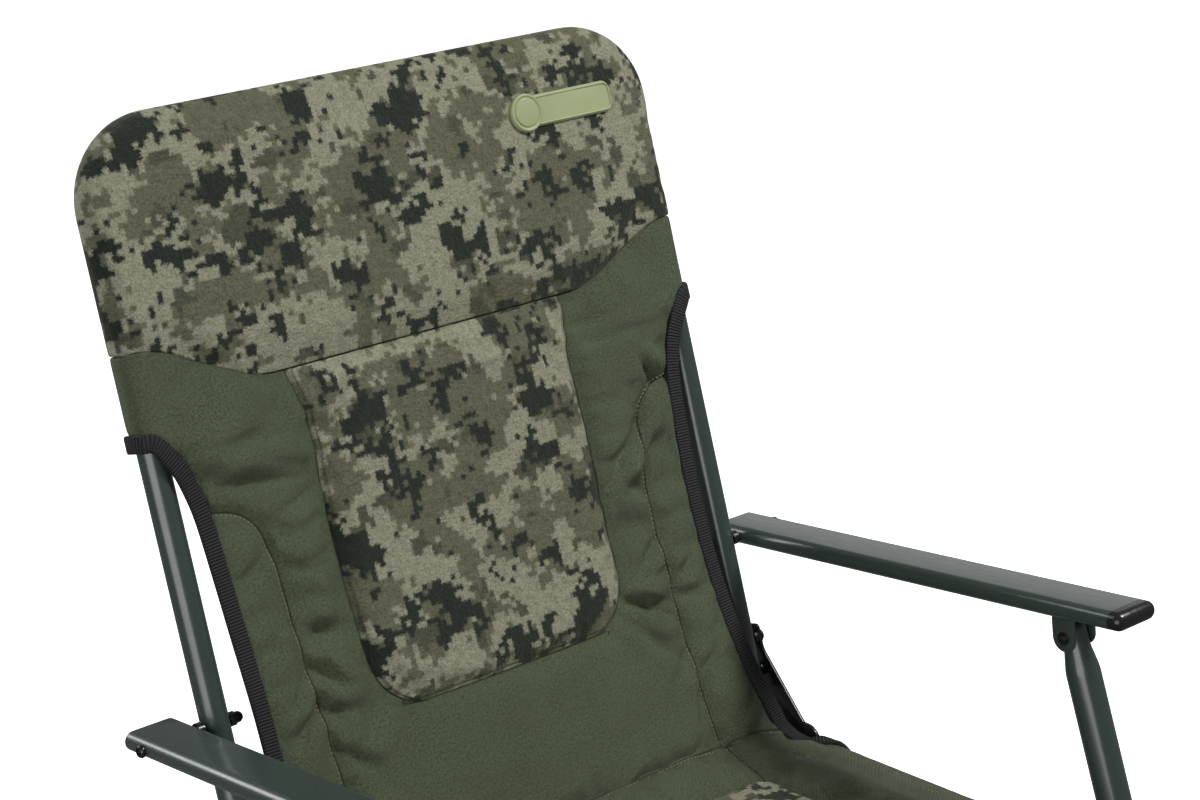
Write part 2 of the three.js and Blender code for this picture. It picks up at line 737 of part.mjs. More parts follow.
// Seat, in its own frame: origin on the hinge, -y along the seat to the front
function buildSeat() {
  const seat = turnedGroup(hinge, -seatRise);
  seat.add(toMesh('seat_frame_tube', seatTube(), paint()));
  seat.add(toMesh('seat_pad', seatPad(), polyester()));
  for (const [side, hand] of [[1, 'left'], [-1, 'right']]) {
    const hingeBolt = shoulderBolt(side, plateFace, plateThickness, 0, 0);
    seat.add(toMesh(`hinge_bolt_${hand}`, hingeBolt, blackSteel()));
    const legBolt = shoulderBolt(side, lugFace, lugThickness, -seatSpan, 0);
    seat.add(toMesh(`front_leg_bolt_${hand}`, legBolt, blackSteel()));
    seat.add(toMesh(`rear_leg_bolt_${hand}`, rearLegBolt(side), blackSteel()));
  }
  return seat;
}

// Armrest profile: a flat tube with round edges, drilled for its pivot bolt
function armrestProfile() {
  const outline = stadium(armrestWidth, armrestThickness);
  outline.holes.push(stadium(armrestWidth - 2 * armrestWall, armrestThickness - 2 * armrestWall));
  const depth = armrestFront + armrestRear;
  const reach = armrestWidth / 2 + overrun;
  return frontBar(outline, { depth, bevelEnabled: false }, armrestRear)
    .subtract(pinHole(holeRadius, -reach, reach, 1));
}

// Cap: a plug in the profile's end and a bull nose in front of it
function armrestCap() {
  const round = armrestThickness / 2 - capTip;
  const nose = frontBar(stadium(armrestWidth, armrestThickness), {
    depth: 2 * (capNose - round),
    bevelThickness: round,
    bevelSize: round,
    bevelOffset: -round,
    bevelSegments: noseSteps,
  }, -armrestFront - fitGap + capNose - round);
  const behind = new THREE.BoxGeometry(armrestWidth, capNose, armrestThickness)
    .scale(2, 1, 2)
    .translate(0, capNose / 2 - armrestFront - fitGap, 0);
  const wall = armrestWall + fitGap;
  const plug = stadium(armrestWidth - 2 * wall, armrestThickness - 2 * wall);
  const depth = capPlug + fitGap * 2;
  return nose.subtract(toSolid(behind))
    .add(frontBar(plug, { depth, bevelEnabled: false }, capPlug - armrestFront));
}

// Leg bracket: a sheet U under the armrest with two round ears
function legBracket() {
  const [top, half] = [-armrestThickness / 2 - fitGap, bracketLength / 2];
  const ear = new THREE.Shape();
  ear.moveTo(-bracketReach + half, top);
  ear.lineTo(-bracketReach - half, top);
  ear.lineTo(-bracketReach - half, -bracketDrop);
  ear.absarc(-bracketReach, -bracketDrop, half, Math.PI, Math.PI * 2, false);
  const gapWidth = bracketWidth - 2 * bracketSheet;
  const height = bracketDrop + bracketLength;
  const gap = new THREE.BoxGeometry(gapWidth, bracketLength + overrun, height)
    .translate(0, -bracketReach, top - bracketSheet - height / 2);
  const reach = bracketWidth / 2 + overrun;
  return sidePlate(ear, bracketWidth, -bracketWidth / 2)
    .subtract(toSolid(gap))
    .subtract(pinHole(holeRadius, -reach, reach, 1, -bracketReach, -bracketDrop));
}

function legRivet() {
  const face = bracketWidth / 2 + fitGap;
  const head = rivetHeadDiameter / 2;
  return turnedAcross([
    [0, -face - rivetHeadHeight],
    [head * rivetRimShare, -face - rivetHeadHeight * rivetDomeShare],
    [head, -face],
    [pinRadius, -face],
    [pinRadius, face],
    [head, face],
    [head * rivetRimShare, face + rivetHeadHeight * rivetDomeShare],
    [0, face + rivetHeadHeight],
  ], 1, -bracketReach, -bracketDrop);
}

// Pivot bolt: from a head on the armrest's outer edge to the nut on the tube's inner side
function armrestBolt(side) {
  const outer = armrestWidth / 2 + fitGap;
  const inner = tubeInnerFace - armrestMiddle - nutHeight;
  const head = boltHeadDiameter / 2;
  return turnedAcross([
    [0, inner],
    [pinRadius, inner],
    [pinRadius, outer],
    [head * bevelHeadShare, outer],
    [head * rivetRimShare, outer + boltHeadHeight * domeShare],
    [0, outer + boltHeadHeight],
  ], side);
}

function armrestNut(side) {
  const face = tubeInnerFace - armrestMiddle - fitGap;
  const shoulder = face - nutHeight;
  return turnedAcross([
    [0, shoulder - nutDomeHeight],
    [nutDomeDiameter / 2 * domeShare, shoulder - nutDomeHeight * domeShare],
    [nutDomeDiameter / 2, shoulder],
    [nutDiameter / 2, shoulder],
    [nutDiameter / 2, face],
    [pinRadius + fitGap, face],
    [pinRadius + fitGap, shoulder],
    [0, shoulder],
  ], side);
}

function armrestWasher(side) {
  const from = tubeFace - armrestMiddle + fitGap;
  const to = armrestInnerFace - armrestMiddle - fitGap;
  return turnedAcross([
    [holeRadius, from],
    [shoulderDiameter / 2, from],
    [shoulderDiameter / 2, to],
    [holeRadius, to],
    [holeRadius, from],
  ], side);
}

// Armrest, in its own frame: origin on its pivot at mid width, -y along it to the front
function buildArmrest(side, hand) {
  const armrest = turnedGroup(armPivot, -armRise);
  armrest.position.x = side * armrestMiddle;
  armrest.add(toMesh(`armrest_profile_${hand}`, armrestProfile(), paint()));
  armrest.add(toMesh(`armrest_cap_${hand}`, armrestCap(), blackPlastic()));
  armrest.add(toMesh(`armrest_bracket_${hand}`, legBracket(), paint()));
  armrest.add(toMesh(`armrest_rivet_${hand}`, legRivet(), blackSteel()));
  armrest.add(toMesh(`armrest_bolt_${hand}`, armrestBolt(side), blackSteel()));
  armrest.add(toMesh(`armrest_nut_${hand}`, armrestNut(side), blackSteel()));
  armrest.add(toMesh(`armrest_washer_${hand}`, armrestWasher(side), blackPlastic()));
  return armrest;
}

// Side of a clamp knob on its leg: -1 to the front, 1 to the rear
const FRONT = -1;
const REAR = 1;

// Profile height becomes distance from the leg's axis towards the knob
function turnedTowards(facing, profile, z, sides = pinSides) {
  return toSolid(turned(profile, sides)
    .rotateX(facing < 0 ? Math.PI : 0)
    .translate(0, 0, z));
}

function outerLeg(profileTop, length, facing) {
  const bottom = innerLegShown - length;
  const leg = turnedUpright([
    [0, -legSolidTop],
    [legBoreRadius, -legSolidTop],
    [legBoreRadius, bottom],
    [legRadius, bottom],
    ...profileTop,
  ], legSides);
  const stem = [[0, 0], [holeRadius, 0], [holeRadius, legDiameter], [0, legDiameter]];
  return leg.subtract(turnedTowards(facing, stem, bottom + clampHeight));
}

// Front leg: swaged neck at the armrest pin and a welded lug at the seat pivot
function frontLeg(side) {
  const leg = outerLeg([
    [legRadius, -legNeckLength - legTaperLength],
    [legNeckDiameter / 2, -legNeckLength],
    [legNeckDiameter / 2, legCrown - legNeckDiameter / 2 * neckEdgeShare],
    [legNeckDiameter / 2 * neckTopShare, legCrown],
    [0, legCrown],
  ], frontLegLength, FRONT);
  const eye = seenFrom(legPin, -frontLegLean, legPivot);
  const lug = new THREE.Shape();
  lug.moveTo(lugRootDepth, eye.z + lugRoot);
  lug.lineTo(eye.y, eye.z + lugRadius);
  lug.absarc(eye.y, eye.z, lugRadius, Math.PI / 2, Math.PI * 1.5, false);
  lug.lineTo(lugRootDepth, eye.z - lugRoot);
  const inner = lugFace - armrestMiddle;
  const plate = sidePlate(lug, lugThickness, side > 0 ? inner : -inner - lugThickness);
  const reach = legRadius + overrun;
  return leg.add(plate)
    .subtract(pinHole(holeRadius, -reach, reach, 1))
    .subtract(pinHole(holeRadius, -reach - lugThickness, -legRadius / 2, side, eye.y, eye.z));
}

function rearLeg() {
  const reach = legRadius + overrun;
  const crown = rearCrownShares.map((shares) => shares.map((share) => share * legRadius));
  return outerLeg(crown, rearLegLength, REAR).subtract(pinHole(holeRadius, -reach, reach, 1));
}

// Clamp collar round the lower end of an outer leg, with a boss for the knob's stem
function clampCollar(length, facing) {
  const bottom = innerLegShown - length;
  const [inner, outer] = [legRadius + fitGap, collarDiameter / 2];
  const boss = clampBossDiameter / 2;
  const ring = turnedUpright([
    [legBoreRadius, bottom - collarLip],
    [outer, bottom - collarLip],
    [outer, bottom - collarLip + collarLength],
    [inner, bottom - collarLip + collarLength],
    [inner, bottom - fitGap],
    [legBoreRadius, bottom - fitGap],
    [legBoreRadius, bottom - collarLip],
  ], legSides);
  const seat = [[0, legRadius + fitGap], [boss, legRadius + fitGap], [boss, clampBossReach],
    [0, clampBossReach]];
  const stem = [[0, 0], [holeRadius, 0], [holeRadius, collarDiameter], [0, collarDiameter]];
  const core = turnedUpright([
    [0, bottom - fitGap], [inner, bottom - fitGap],
    [inner, bottom + collarLength], [0, bottom + collarLength],
  ], legSides);
  return ring
    .add(turnedTowards(facing, seat, bottom + clampHeight).subtract(core))
    .subtract(turnedTowards(facing, stem, bottom + clampHeight));
}

// Clamp knob: a lobed head on a stem that ends just short of the inner leg
function clampKnob(length, facing) {
  const z = innerLegShown - length + clampHeight;
  const face = clampBossReach + fitGap;
  const count = knobLobes * lobeSteps;
  const lobes = Array.from({ length: count }, (_, i) => {
    const turn = i / count * 2 * Math.PI;
    const radius = knobDiameter / 2 - knobLobeDepth * (0.5 - 0.5 * Math.cos(knobLobes * turn));
    return new THREE.Vector2(radius * Math.cos(turn), radius * Math.sin(turn));
  });
  const head = new THREE.ExtrudeGeometry(new THREE.Shape(lobes), {
    depth: knobHeight, bevelEnabled: false,
  }).rotateX(facing < 0 ? Math.PI / 2 : -Math.PI / 2).translate(0, facing * face, z);
  const tip = innerLegRadius + fitGap;
  const stem = [[0, tip], [pinRadius, tip], [pinRadius, face + overrun], [0, face + overrun]];
  return toSolid(head).add(turnedTowards(facing, stem, z));
}

// Inner leg: a tube with a solid plug at its lower end, bored for the foot's pin
function innerLeg(length) {
  const top = innerLegShown - length + innerLegHidden;
  const bore = innerLegRadius - innerLegWall;
  const tube = turnedUpright([
    [0, -length - innerLegEnd],
    [innerLegRadius, -length - innerLegEnd],
    [innerLegRadius, top],
    [bore, top],
    [bore, innerLegPlug - length],
    [0, innerLegPlug - length],
  ], tubeSides);
  const reach = innerLegRadius + overrun;
  return tube.subtract(pinHole(holeRadius, -reach, reach, 1, 0, -length));
}

// Swivel foot: a round sole with two ears and their pin; origin on the pin
function swivelFoot() {
  const [rim, floor] = [footDiameter / 2, -footPinHeight];
  const top = floor + footThickness;
  const sole = turnedUpright([
    [0, floor], [rim, floor], [rim, top - footEdge], [rim - footEdge, top], [0, top],
  ], legSides);
  const [half, inner] = [footEarWidth / 2, innerLegRadius + fitGap];
  const ear = new THREE.Shape();
  ear.moveTo(-half, floor + footThickness / 2);
  ear.lineTo(half, floor + footThickness / 2);
  ear.absarc(0, 0, half, 0, Math.PI, false);
  const reach = inner + footEarThickness / 2;
  return sole
    .add(sidePlate(ear, footEarThickness, inner))
    .add(sidePlate(ear, footEarThickness, -inner - footEarThickness))
    .add(pinHole(pinRadius, -reach, reach, 1));
}

// Clamp, inner leg and foot that each of the four legs carries
function addLegEnd(leg, label, origin, lean, length, facing, x) {
  leg.add(toMesh(`clamp_collar_${label}`, clampCollar(length, facing), blackPlastic()));
  leg.add(toMesh(`clamp_knob_${label}`, clampKnob(length, facing), blackPlastic()));
  leg.add(toMesh(`inner_leg_${label}`, innerLeg(length), paint()));
  const foot = new THREE.Group();
  const down = new THREE.Vector3(0, Math.sin(lean), -Math.cos(lean));
  foot.position.copy(origin).addScaledVector(down, length);
  foot.position.x = x;
  foot.add(toMesh(`foot_${label}`, swivelFoot(), blackPlastic()));
  return [leg, foot];
}

function buildFrontLeg(side, hand) {
  const x = side * armrestMiddle;
  const leg = turnedGroup(legPin, -frontLegLean);
  leg.position.x = x;
  leg.add(toMesh(`front_leg_${hand}`, frontLeg(side), paint()));
  return addLegEnd(leg, `front_${hand}`, legPin, -frontLegLean, frontLegLength, FRONT, x);
}

function buildRearLeg(side, hand) {
  const x = side * rearLegMiddle;
  const leg = turnedGroup(rearPivot, rearLegLean);
  leg.position.x = x;
  leg.add(toMesh(`rear_leg_${hand}`, rearLeg(), paint()));
  return addLegEnd(leg, `rear_${hand}`, rearPivot, rearLegLean, rearLegLength, REAR, x);
}

// Crossbar: a tube between the rear legs, coped to their round faces
function buildCrossbar() {
  const frame = turnedGroup(rearPivot, rearLegLean);
  const radius = crossbarDiameter / 2;
  let bar = sidePlate(tubeOutline(radius, crossbarWall), 2 * rearLegMiddle, -rearLegMiddle);
  for (const side of [-1, 1]) {
    const face = legRadius + fitGap;
    const leg = turnedUpright([
      [0, -crossbarDiameter], [face, -crossbarDiameter],
      [face, crossbarDiameter], [0, crossbarDiameter],
    ], legSides);
    bar = bar.subtract(leg.translate([side * rearLegMiddle, 0, 0]));
  }
  frame.add(toMesh('rear_crossbar', bar.translate([0, 0, -crossbarDrop]), paint()));
  return frame;
}

// The whole chair, its origin under the middle of its outline
const group = new THREE.Group();
const chair = new THREE.Group();
chair.add(buildSeat(), buildBack(), buildCrossbar());
for (const [side, hand] of [[1, 'left'], [-1, 'right']]) {
  chair.add(buildArmrest(side, hand));
  chair.add(...buildFrontLeg(side, hand));
  chair.add(...buildRearLeg(side, hand));
}
chair.updateMatrixWorld(true);
const middle = new THREE.Box3().setFromObject(chair, true).getCenter(new THREE.Vector3());
chair.position.y = -middle.y;
group.add(chair);

export default group;
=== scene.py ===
"""Carp fishing chair: padded covers, tubes and fittings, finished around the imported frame."""
import json
import logging
import math
from dataclasses import dataclass
from enum import Enum
from typing import Callable, Sequence

import bmesh
import bpy
import numpy as np
from mathutils import Matrix, Vector, noise
from mathutils.bvhtree import BVHTree


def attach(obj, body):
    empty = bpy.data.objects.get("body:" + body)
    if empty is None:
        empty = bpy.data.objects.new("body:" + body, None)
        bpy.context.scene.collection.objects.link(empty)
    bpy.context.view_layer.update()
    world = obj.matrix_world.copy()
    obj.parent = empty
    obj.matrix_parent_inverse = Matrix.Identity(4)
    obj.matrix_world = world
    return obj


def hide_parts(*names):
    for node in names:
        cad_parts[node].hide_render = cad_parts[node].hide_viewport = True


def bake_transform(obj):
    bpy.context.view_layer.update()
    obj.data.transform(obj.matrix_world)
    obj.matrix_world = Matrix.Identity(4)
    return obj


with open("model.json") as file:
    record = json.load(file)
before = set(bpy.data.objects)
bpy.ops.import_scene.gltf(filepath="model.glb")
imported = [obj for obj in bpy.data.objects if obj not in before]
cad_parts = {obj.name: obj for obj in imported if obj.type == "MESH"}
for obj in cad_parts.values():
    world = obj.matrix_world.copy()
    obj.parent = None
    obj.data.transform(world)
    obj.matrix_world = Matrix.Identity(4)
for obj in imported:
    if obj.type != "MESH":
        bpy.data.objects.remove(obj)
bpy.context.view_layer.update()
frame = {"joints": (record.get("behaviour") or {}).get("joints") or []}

log = logging.getLogger("chair")

MM = 0.001
FULL_TURN = 2 * math.pi
ACROSS = Vector((1, 0, 0))
SIDES = {"left": 1, "right": -1}
JOINTS = {joint["name"]: joint for joint in frame["joints"]}


def joint_place(name: str) -> Vector:
    """Where a joint's axis lies, in the row frame."""
    return Vector(JOINTS[name]["pos_m"])


def metres(rows: Sequence[Sequence[float]], side: int = 1) -> tuple:
    """Rows of millimetres in metres, with their first column put on one side of the chair."""
    return tuple((side * first * MM, *(value * MM for value in rest)) for first, *rest in rows)


def profile(rows: Sequence[tuple[float, float]], start: float = 0.0) -> list[tuple]:
    """Rows of radius and height in millimetres, in metres, with the heights from a start."""
    return [(radius * MM, start + height * MM) for radius, height in rows]


def packed(u: float, push: float) -> float:
    """A share from -1 to 1 that draws cells together towards both ends."""
    return u * (1 + push - push * u * u)


def from_axes(first: Vector, second: Vector, third: Vector, origin: Vector) -> Matrix:
    """A place with these three axes."""
    rows = [[axis[row] for axis in (first, second, third, origin)] for row in range(3)]
    return Matrix([*rows, [0, 0, 0, 1]])


def smooth(value: float, low: float, high: float) -> float:
    """0 below low, 1 above high, and an even curve between them."""
    share = min(1.0, max(0.0, (value - low) / (high - low)))
    return share * share * (3 - 2 * share)


def mixed(low: float, high: float, share: float) -> float:
    """The value a share of the way from low to high."""
    return low + (high - low) * share


def from_table(table: Sequence[tuple[float, float]], place: float) -> float:
    """Reads a smooth value from a table of (place, value) that rises in place.

    Args:
        table: the rows.
        place: where to read it.

    Returns:
        The value there.
    """
    if place <= table[0][0]:
        return table[0][1]
    for (start, before), (end, after) in zip(table, table[1:]):
        if place <= end:
            return mixed(before, after, (place - start) / (end - start))
    return table[-1][1]


# Reference planes

@dataclass(frozen=True)
class Plane:
    """A flat reference across the chair, with x across, one direction along and one out of it."""

    origin: Vector
    along: Vector
    out: Vector

    def matrix(self) -> Matrix:
        """From (x, along, out) to the row frame."""
        return from_axes(ACROSS, self.along, self.out, self.origin)

    def at(self, x: float, along: float, out: float = 0.0) -> Vector:
        """A point of the plane's own measures, in the row frame."""
        return self.matrix() @ Vector((x, along, out))

    def side_on(self, x: float) -> Matrix:
        """From (along, out, across) to the row frame, from a place across the chair."""
        return from_axes(self.along, self.out, ACROSS, self.origin + ACROSS * x)


def side_plane(origin: Vector, along: Vector) -> Plane:
    """A plane across the chair from a joint's place, with one direction in the side view."""
    return Plane(Vector((0, *origin[1:])), along, ACROSS.cross(along))


def tilted(degrees: float) -> Vector:
    """Upwards in the side view, turned that much to the rear."""
    turn = math.radians(degrees)
    return Vector((0, math.sin(turn), math.cos(turn)))


HINGE = joint_place("back_fold")
LEG_PIVOT = joint_place("front_leg_left_fold")
BACK = side_plane(joint_place("armrest_left_fold"), tilted(16.6))
SEAT = side_plane(HINGE, Vector((0, *(HINGE - LEG_PIVOT)[1:])).normalized())
ARMREST = side_plane(BACK.origin, tilted(97))
FRONT_LEG = side_plane(ARMREST.at(0, -352.8 * MM, -25.5 * MM), tilted(19.6))
REAR_LEG = side_plane(joint_place("rear_leg_fold"), tilted(-24))


# Finishes

Value = bpy.types.NodeSocket | float | Sequence[float]


class Sheet:
    """The nodes of one procedural finish around a Principled shader."""

    def __init__(self, name: str) -> None:
        """Starts an empty finish with that name.

        Args:
            name: the material's name.
        """
        self.material = bpy.data.materials.new(name)
        self.material.use_nodes = True
        self.tree = self.material.node_tree
        self.shader = self.tree.nodes["Principled BSDF"]

    def feed(self, socket: bpy.types.NodeSocket, value: Value) -> None:
        """Links a socket to another one, or sets its value.

        Args:
            socket: the input.
            value: what it gets.
        """
        if isinstance(value, bpy.types.NodeSocket):
            self.tree.links.new(value, socket)
        else:
            socket.default_value = value

    def add(self, kind: str, settings: dict | None = None,
            inputs: dict | None = None) -> bpy.types.Node:
        """Adds a node.

        Args:
            kind: the node's type, without its ShaderNode prefix.
            settings: the node's own options.
            inputs: sockets to link, or values to set, by name or number.

        Returns:
            The new node.
        """
        node = self.tree.nodes.new("ShaderNode" + kind)
        for key, value in (settings or {}).items():
            setattr(node, key, value)
        for key, value in (inputs or {}).items():
            self.feed(node.inputs[key], value)
        return node

    def attribute(self, name: str, output: str = "Vector") -> bpy.types.NodeSocket:
        """A value stored on the mesh."""
        return self.add("Attribute", {"attribute_name": name}).outputs[output]

    def math(self, operation: str, first: Value, second: Value = 0.0,
             third: Value = 0.0) -> bpy.types.NodeSocket:
        """One sum on numbers, and its result socket."""
        inputs = {0: first, 1: second, 2: third}
        return self.add("Math", {"operation": operation}, inputs).outputs[0]

    def vector_math(self, operation: str, first: Value,
                    second: Value = (0, 0, 0)) -> bpy.types.NodeSocket:
        """One sum on vectors, and its result socket."""
        return self.add("VectorMath", {"operation": operation}, {0: first, 1: second}).outputs[0]

    def noise(self, place: Value, scale: float, detail: float = 2.0,
              roughness: float = 0.5) -> bpy.types.NodeSocket:
        """Noise at a place, and its value socket."""
        inputs = {"Vector": place, "Scale": scale, "Detail": detail, "Roughness": roughness}
        return self.add("TexNoise", None, inputs).outputs[0]

    def mix(self, factor: Value, first: Value, second: Value,
            blend: str = "MIX") -> bpy.types.NodeSocket:
        """Two colours mixed, and the result socket; 0, 6 and 7 are the colour mix's sockets.

        Args:
            factor: how much of the second.
            first: a colour.
            second: another colour.
            blend: how they are mixed.

        Returns:
            The mixed colour.
        """
        node = self.add("Mix", {"data_type": "RGBA", "blend_type": blend},
                        {0: factor, 6: first, 7: second})
        return node.outputs[2]

    def spread(self, value: Value, low: float, high: float) -> bpy.types.NodeSocket:
        """A noise value stretched to run from low to high.

        Args:
            value: the noise.
            low: where it starts.
            high: where it ends.

        Returns:
            The stretched value.
        """
        node = self.add("MapRange", None, {"Value": value, "From Min": 0.3, "From Max": 0.7,
                                           "To Min": low, "To Max": high})
        return node.outputs[0]

    def seam_line(self, width: float) -> bpy.types.NodeSocket:
        """1 on a sewn line and 0 beside it; the signed distance keeps the line fine.

        Args:
            width: half the line's width in metres.

        Returns:
            The value.
        """
        parts = self.add("SeparateXYZ", None, {0: self.attribute("seam")})
        away = self.math("MULTIPLY", parts.outputs[0], 1 / width)
        square = self.math("MULTIPLY", away, away)
        line = self.math("EXPONENT", self.math("MULTIPLY", square, -1.0))
        return self.math("MULTIPLY", line, self.math("LESS_THAN", parts.outputs[1], 5 * MM))

    def bump(self, height: Value, distance: float,
             before: bpy.types.NodeSocket | None = None) -> bpy.types.NodeSocket:
        """Relief of that height in metres, and the normal socket.

        Args:
            height: the relief, from 0 to 1.
            distance: how high 1 is.
            before: the normal of a coarser relief.

        Returns:
            The normal.
        """
        inputs = {"Height": height, "Distance": distance, "Strength": 1.0}
        if before is not None:
            inputs["Normal"] = before
        return self.add("Bump", None, inputs).outputs[0]

    def wear(self, inputs: dict) -> bpy.types.Material:
        """Sets or links the shader's sockets and returns the material.

        Args:
            inputs: the shader's sockets by name.

        Returns:
            The material.
        """
        for key, value in inputs.items():
            self.feed(self.shader.inputs[key], value)
        return self.material


def opaque(color: Sequence[float]) -> tuple[float, float, float, float]:
    """A colour with full alpha."""
    return (*color, 1.0)


def scaled(color: Sequence[float], share: float) -> tuple[float, float, float, float]:
    """A colour made darker or lighter by a share."""
    return opaque([channel * share for channel in color])


@dataclass(frozen=True)
class CamoFleece:
    """Brushed fleece printed with small squares in dull greens."""

    slot: str = "camo_fleece"
    light: tuple = (0.250, 0.250, 0.178)
    middle: tuple = (0.112, 0.113, 0.074)
    deep: tuple = (0.070, 0.074, 0.050)
    dark: tuple = (0.020, 0.025, 0.021)
    cell: float = 4.5 * MM
    fuzz: float = 4.6 * MM
    nap: float = 1.0 * MM
    blurs: int = 3

    def printed(self, sheet: Sheet, place: bpy.types.NodeSocket) -> bpy.types.NodeSocket:
        """The print's colour at a place.

        Args:
            sheet: the finish.
            place: where the print is read.

        Returns:
            The colour.
        """
        cell = sheet.vector_math("SNAP", place, (self.cell,) * 3)
        broad = sheet.noise(cell, 19.0, 5.0, 0.74)
        patches = sheet.noise(sheet.vector_math("ADD", cell, (3.7, 1.9, 0)), 16.0, 5.0, 0.72)
        faint = sheet.noise(sheet.vector_math("ADD", cell, (8.3, 5.1, 0)), 30.0, 3.0, 0.6)
        color = sheet.mix(sheet.math("GREATER_THAN", patches, 0.505), opaque(self.light),
                          opaque(self.middle))
        color = sheet.mix(sheet.math("GREATER_THAN", faint, 0.60), color, opaque(self.deep))
        return sheet.mix(sheet.math("GREATER_THAN", broad, 0.540), color, opaque(self.dark))

    def build(self) -> bpy.types.Material:
        """Makes the finish; the print is read a few times at jittered places, as fibres spread it.

        Returns:
            The material.
        """
        sheet = Sheet("camo_fleece")
        place = sheet.attribute("cloth")
        color = None
        for number in range(self.blurs):
            drift = sheet.vector_math("ADD", place, (number * 0.7, 0, 0))
            blur = sheet.add("TexNoise", None, {"Vector": drift, "Scale": 430.0, "Detail": 3.0})
            shift = sheet.vector_math("SUBTRACT", blur.outputs["Color"], (0.5, 0.5, 0.5))
            shift = sheet.vector_math("MULTIPLY", shift, (2 * self.fuzz, 2 * self.fuzz, 0))
            read = self.printed(sheet, sheet.vector_math("ADD", place, shift))
            color = sheet.mix(1 / (number + 1), color, read) if color else read
        nap = sheet.noise(place, 520.0, 3.0, 0.72)
        tufts = sheet.noise(place, 150.0, 2.0, 0.6)
        shade = sheet.math("ADD", sheet.spread(nap, 0.62, 1.34), sheet.spread(tufts, -0.14, 0.14))
        color = sheet.mix(1.0, color, shade, "MULTIPLY")
        # Painted shade: the sewn line is darkened towards the print's dark tone, as shade in the
        # seam's groove.
        line = sheet.seam_line(0.9 * MM)
        color = sheet.mix(sheet.math("MULTIPLY", line, 0.4), color, opaque(self.dark))
        relief = sheet.bump(sheet.math("MULTIPLY", line, -1.0), 1.2 * MM)
        relief = sheet.bump(nap, self.nap, sheet.bump(tufts, 2 * self.nap, relief))
        return sheet.wear({"Base Color": color, "Roughness": 0.95, "Normal": relief,
                           "Sheen Weight": 0.3, "Sheen Roughness": 0.5,
                           "Sheen Tint": scaled(self.light, 1.8), "Specular IOR Level": 0.12})


@dataclass(frozen=True)
class Polyester:
    """Tightly woven olive green cloth with a dull sheen."""

    slot: str = "cover_cloth"
    color: tuple = (0.070, 0.089, 0.046)
    shadow: tuple = (0.014, 0.018, 0.009)
    pitch: float = 1.6 * MM
    relief: float = 0.3 * MM

    def build(self) -> bpy.types.Material:
        """Makes the finish.

        Returns:
            The material.
        """
        sheet = Sheet("green_polyester")
        place = sheet.attribute("cloth")
        parts = sheet.add("SeparateXYZ", None, {0: place})
        turns = FULL_TURN / self.pitch
        warp = sheet.math("SINE", sheet.math("MULTIPLY", parts.outputs[0], turns))
        weft = sheet.math("SINE", sheet.math("MULTIPLY", parts.outputs[1], turns))
        weave = sheet.math("MULTIPLY", warp, weft)
        grain = sheet.noise(place, 560.0, 2.0, 0.75)
        broad = sheet.noise(place, 14.0, 3.0, 0.55)
        shade = sheet.math("ADD", sheet.spread(grain, 0.35, 1.65), sheet.spread(broad, -0.1, 0.1))
        shade = sheet.math("ADD", shade, sheet.math("MULTIPLY", weave, 0.18))
        color = sheet.mix(1.0, opaque(self.color), shade, "MULTIPLY")
        line = sheet.seam_line(0.8 * MM)
        color = sheet.mix(sheet.math("MULTIPLY", line, 0.75), color, opaque(self.shadow))
        height = sheet.math("ADD", weave, sheet.math("MULTIPLY", grain, 1.5))
        relief = sheet.bump(sheet.math("MULTIPLY", line, -1.0), 1.5 * MM)
        return sheet.wear({"Base Color": color, "Roughness": sheet.spread(grain, 0.42, 0.6),
                           "Normal": sheet.bump(height, self.relief, relief),
                           "Sheen Weight": 0.08, "Sheen Roughness": 0.35,
                           "Sheen Tint": opaque((0.55, 0.62, 0.48)), "Specular IOR Level": 0.4})


@dataclass(frozen=True)
class Grosgrain:
    """Ribbed black binding tape."""

    slot: str = "black_webbing"
    # The tape is black: the groove colour is painted shade and the rib colour a painted highlight.
    groove: tuple = (0.003, 0.003, 0.004)
    rib_highlight: tuple = (0.036, 0.035, 0.038)
    pitch: float = 2.4 * MM
    relief: float = 0.7 * MM

    def build(self) -> bpy.types.Material:
        """Makes the finish.

        Returns:
            The material.
        """
        sheet = Sheet("black_grosgrain")
        along = sheet.attribute("along", "Fac")
        place = sheet.add("TexCoord").outputs["Object"]
        turns = sheet.math("MULTIPLY", along, FULL_TURN / self.pitch)
        ribs = sheet.math("MULTIPLY_ADD", sheet.math("SINE", turns), 0.5, 0.5)
        flecks = sheet.noise(place, 1300.0, 2.0, 0.7)
        height = sheet.math("MULTIPLY", ribs, sheet.spread(flecks, 0.6, 1.2))
        # Painted light: the colour follows the rib height, with shade painted in the grooves and
        # highlight on the rib tops.
        color = sheet.mix(height, opaque(self.groove), opaque(self.rib_highlight))
        return sheet.wear({"Base Color": color, "Roughness": 0.7,
                           "Normal": sheet.bump(height, self.relief),
                           "Specular IOR Level": 0.3})


@dataclass(frozen=True)
class Thread:
    """Sewing thread, a little lighter than the cloth."""

    slot: str = "cover_cloth"
    color: tuple = (0.270, 0.245, 0.140)

    def build(self) -> bpy.types.Material:
        """Makes the finish.

        Returns:
            The material.
        """
        sheet = Sheet("olive_thread")
        place = sheet.add("TexCoord").outputs["Object"]
        twist = sheet.noise(place, 2600.0, 1.0)
        color = sheet.mix(1.0, opaque(self.color), sheet.spread(twist, 0.7, 1.25), "MULTIPLY")
        return sheet.wear({"Base Color": color, "Roughness": 0.7,
                           "Normal": sheet.bump(twist, 0.1 * MM)})


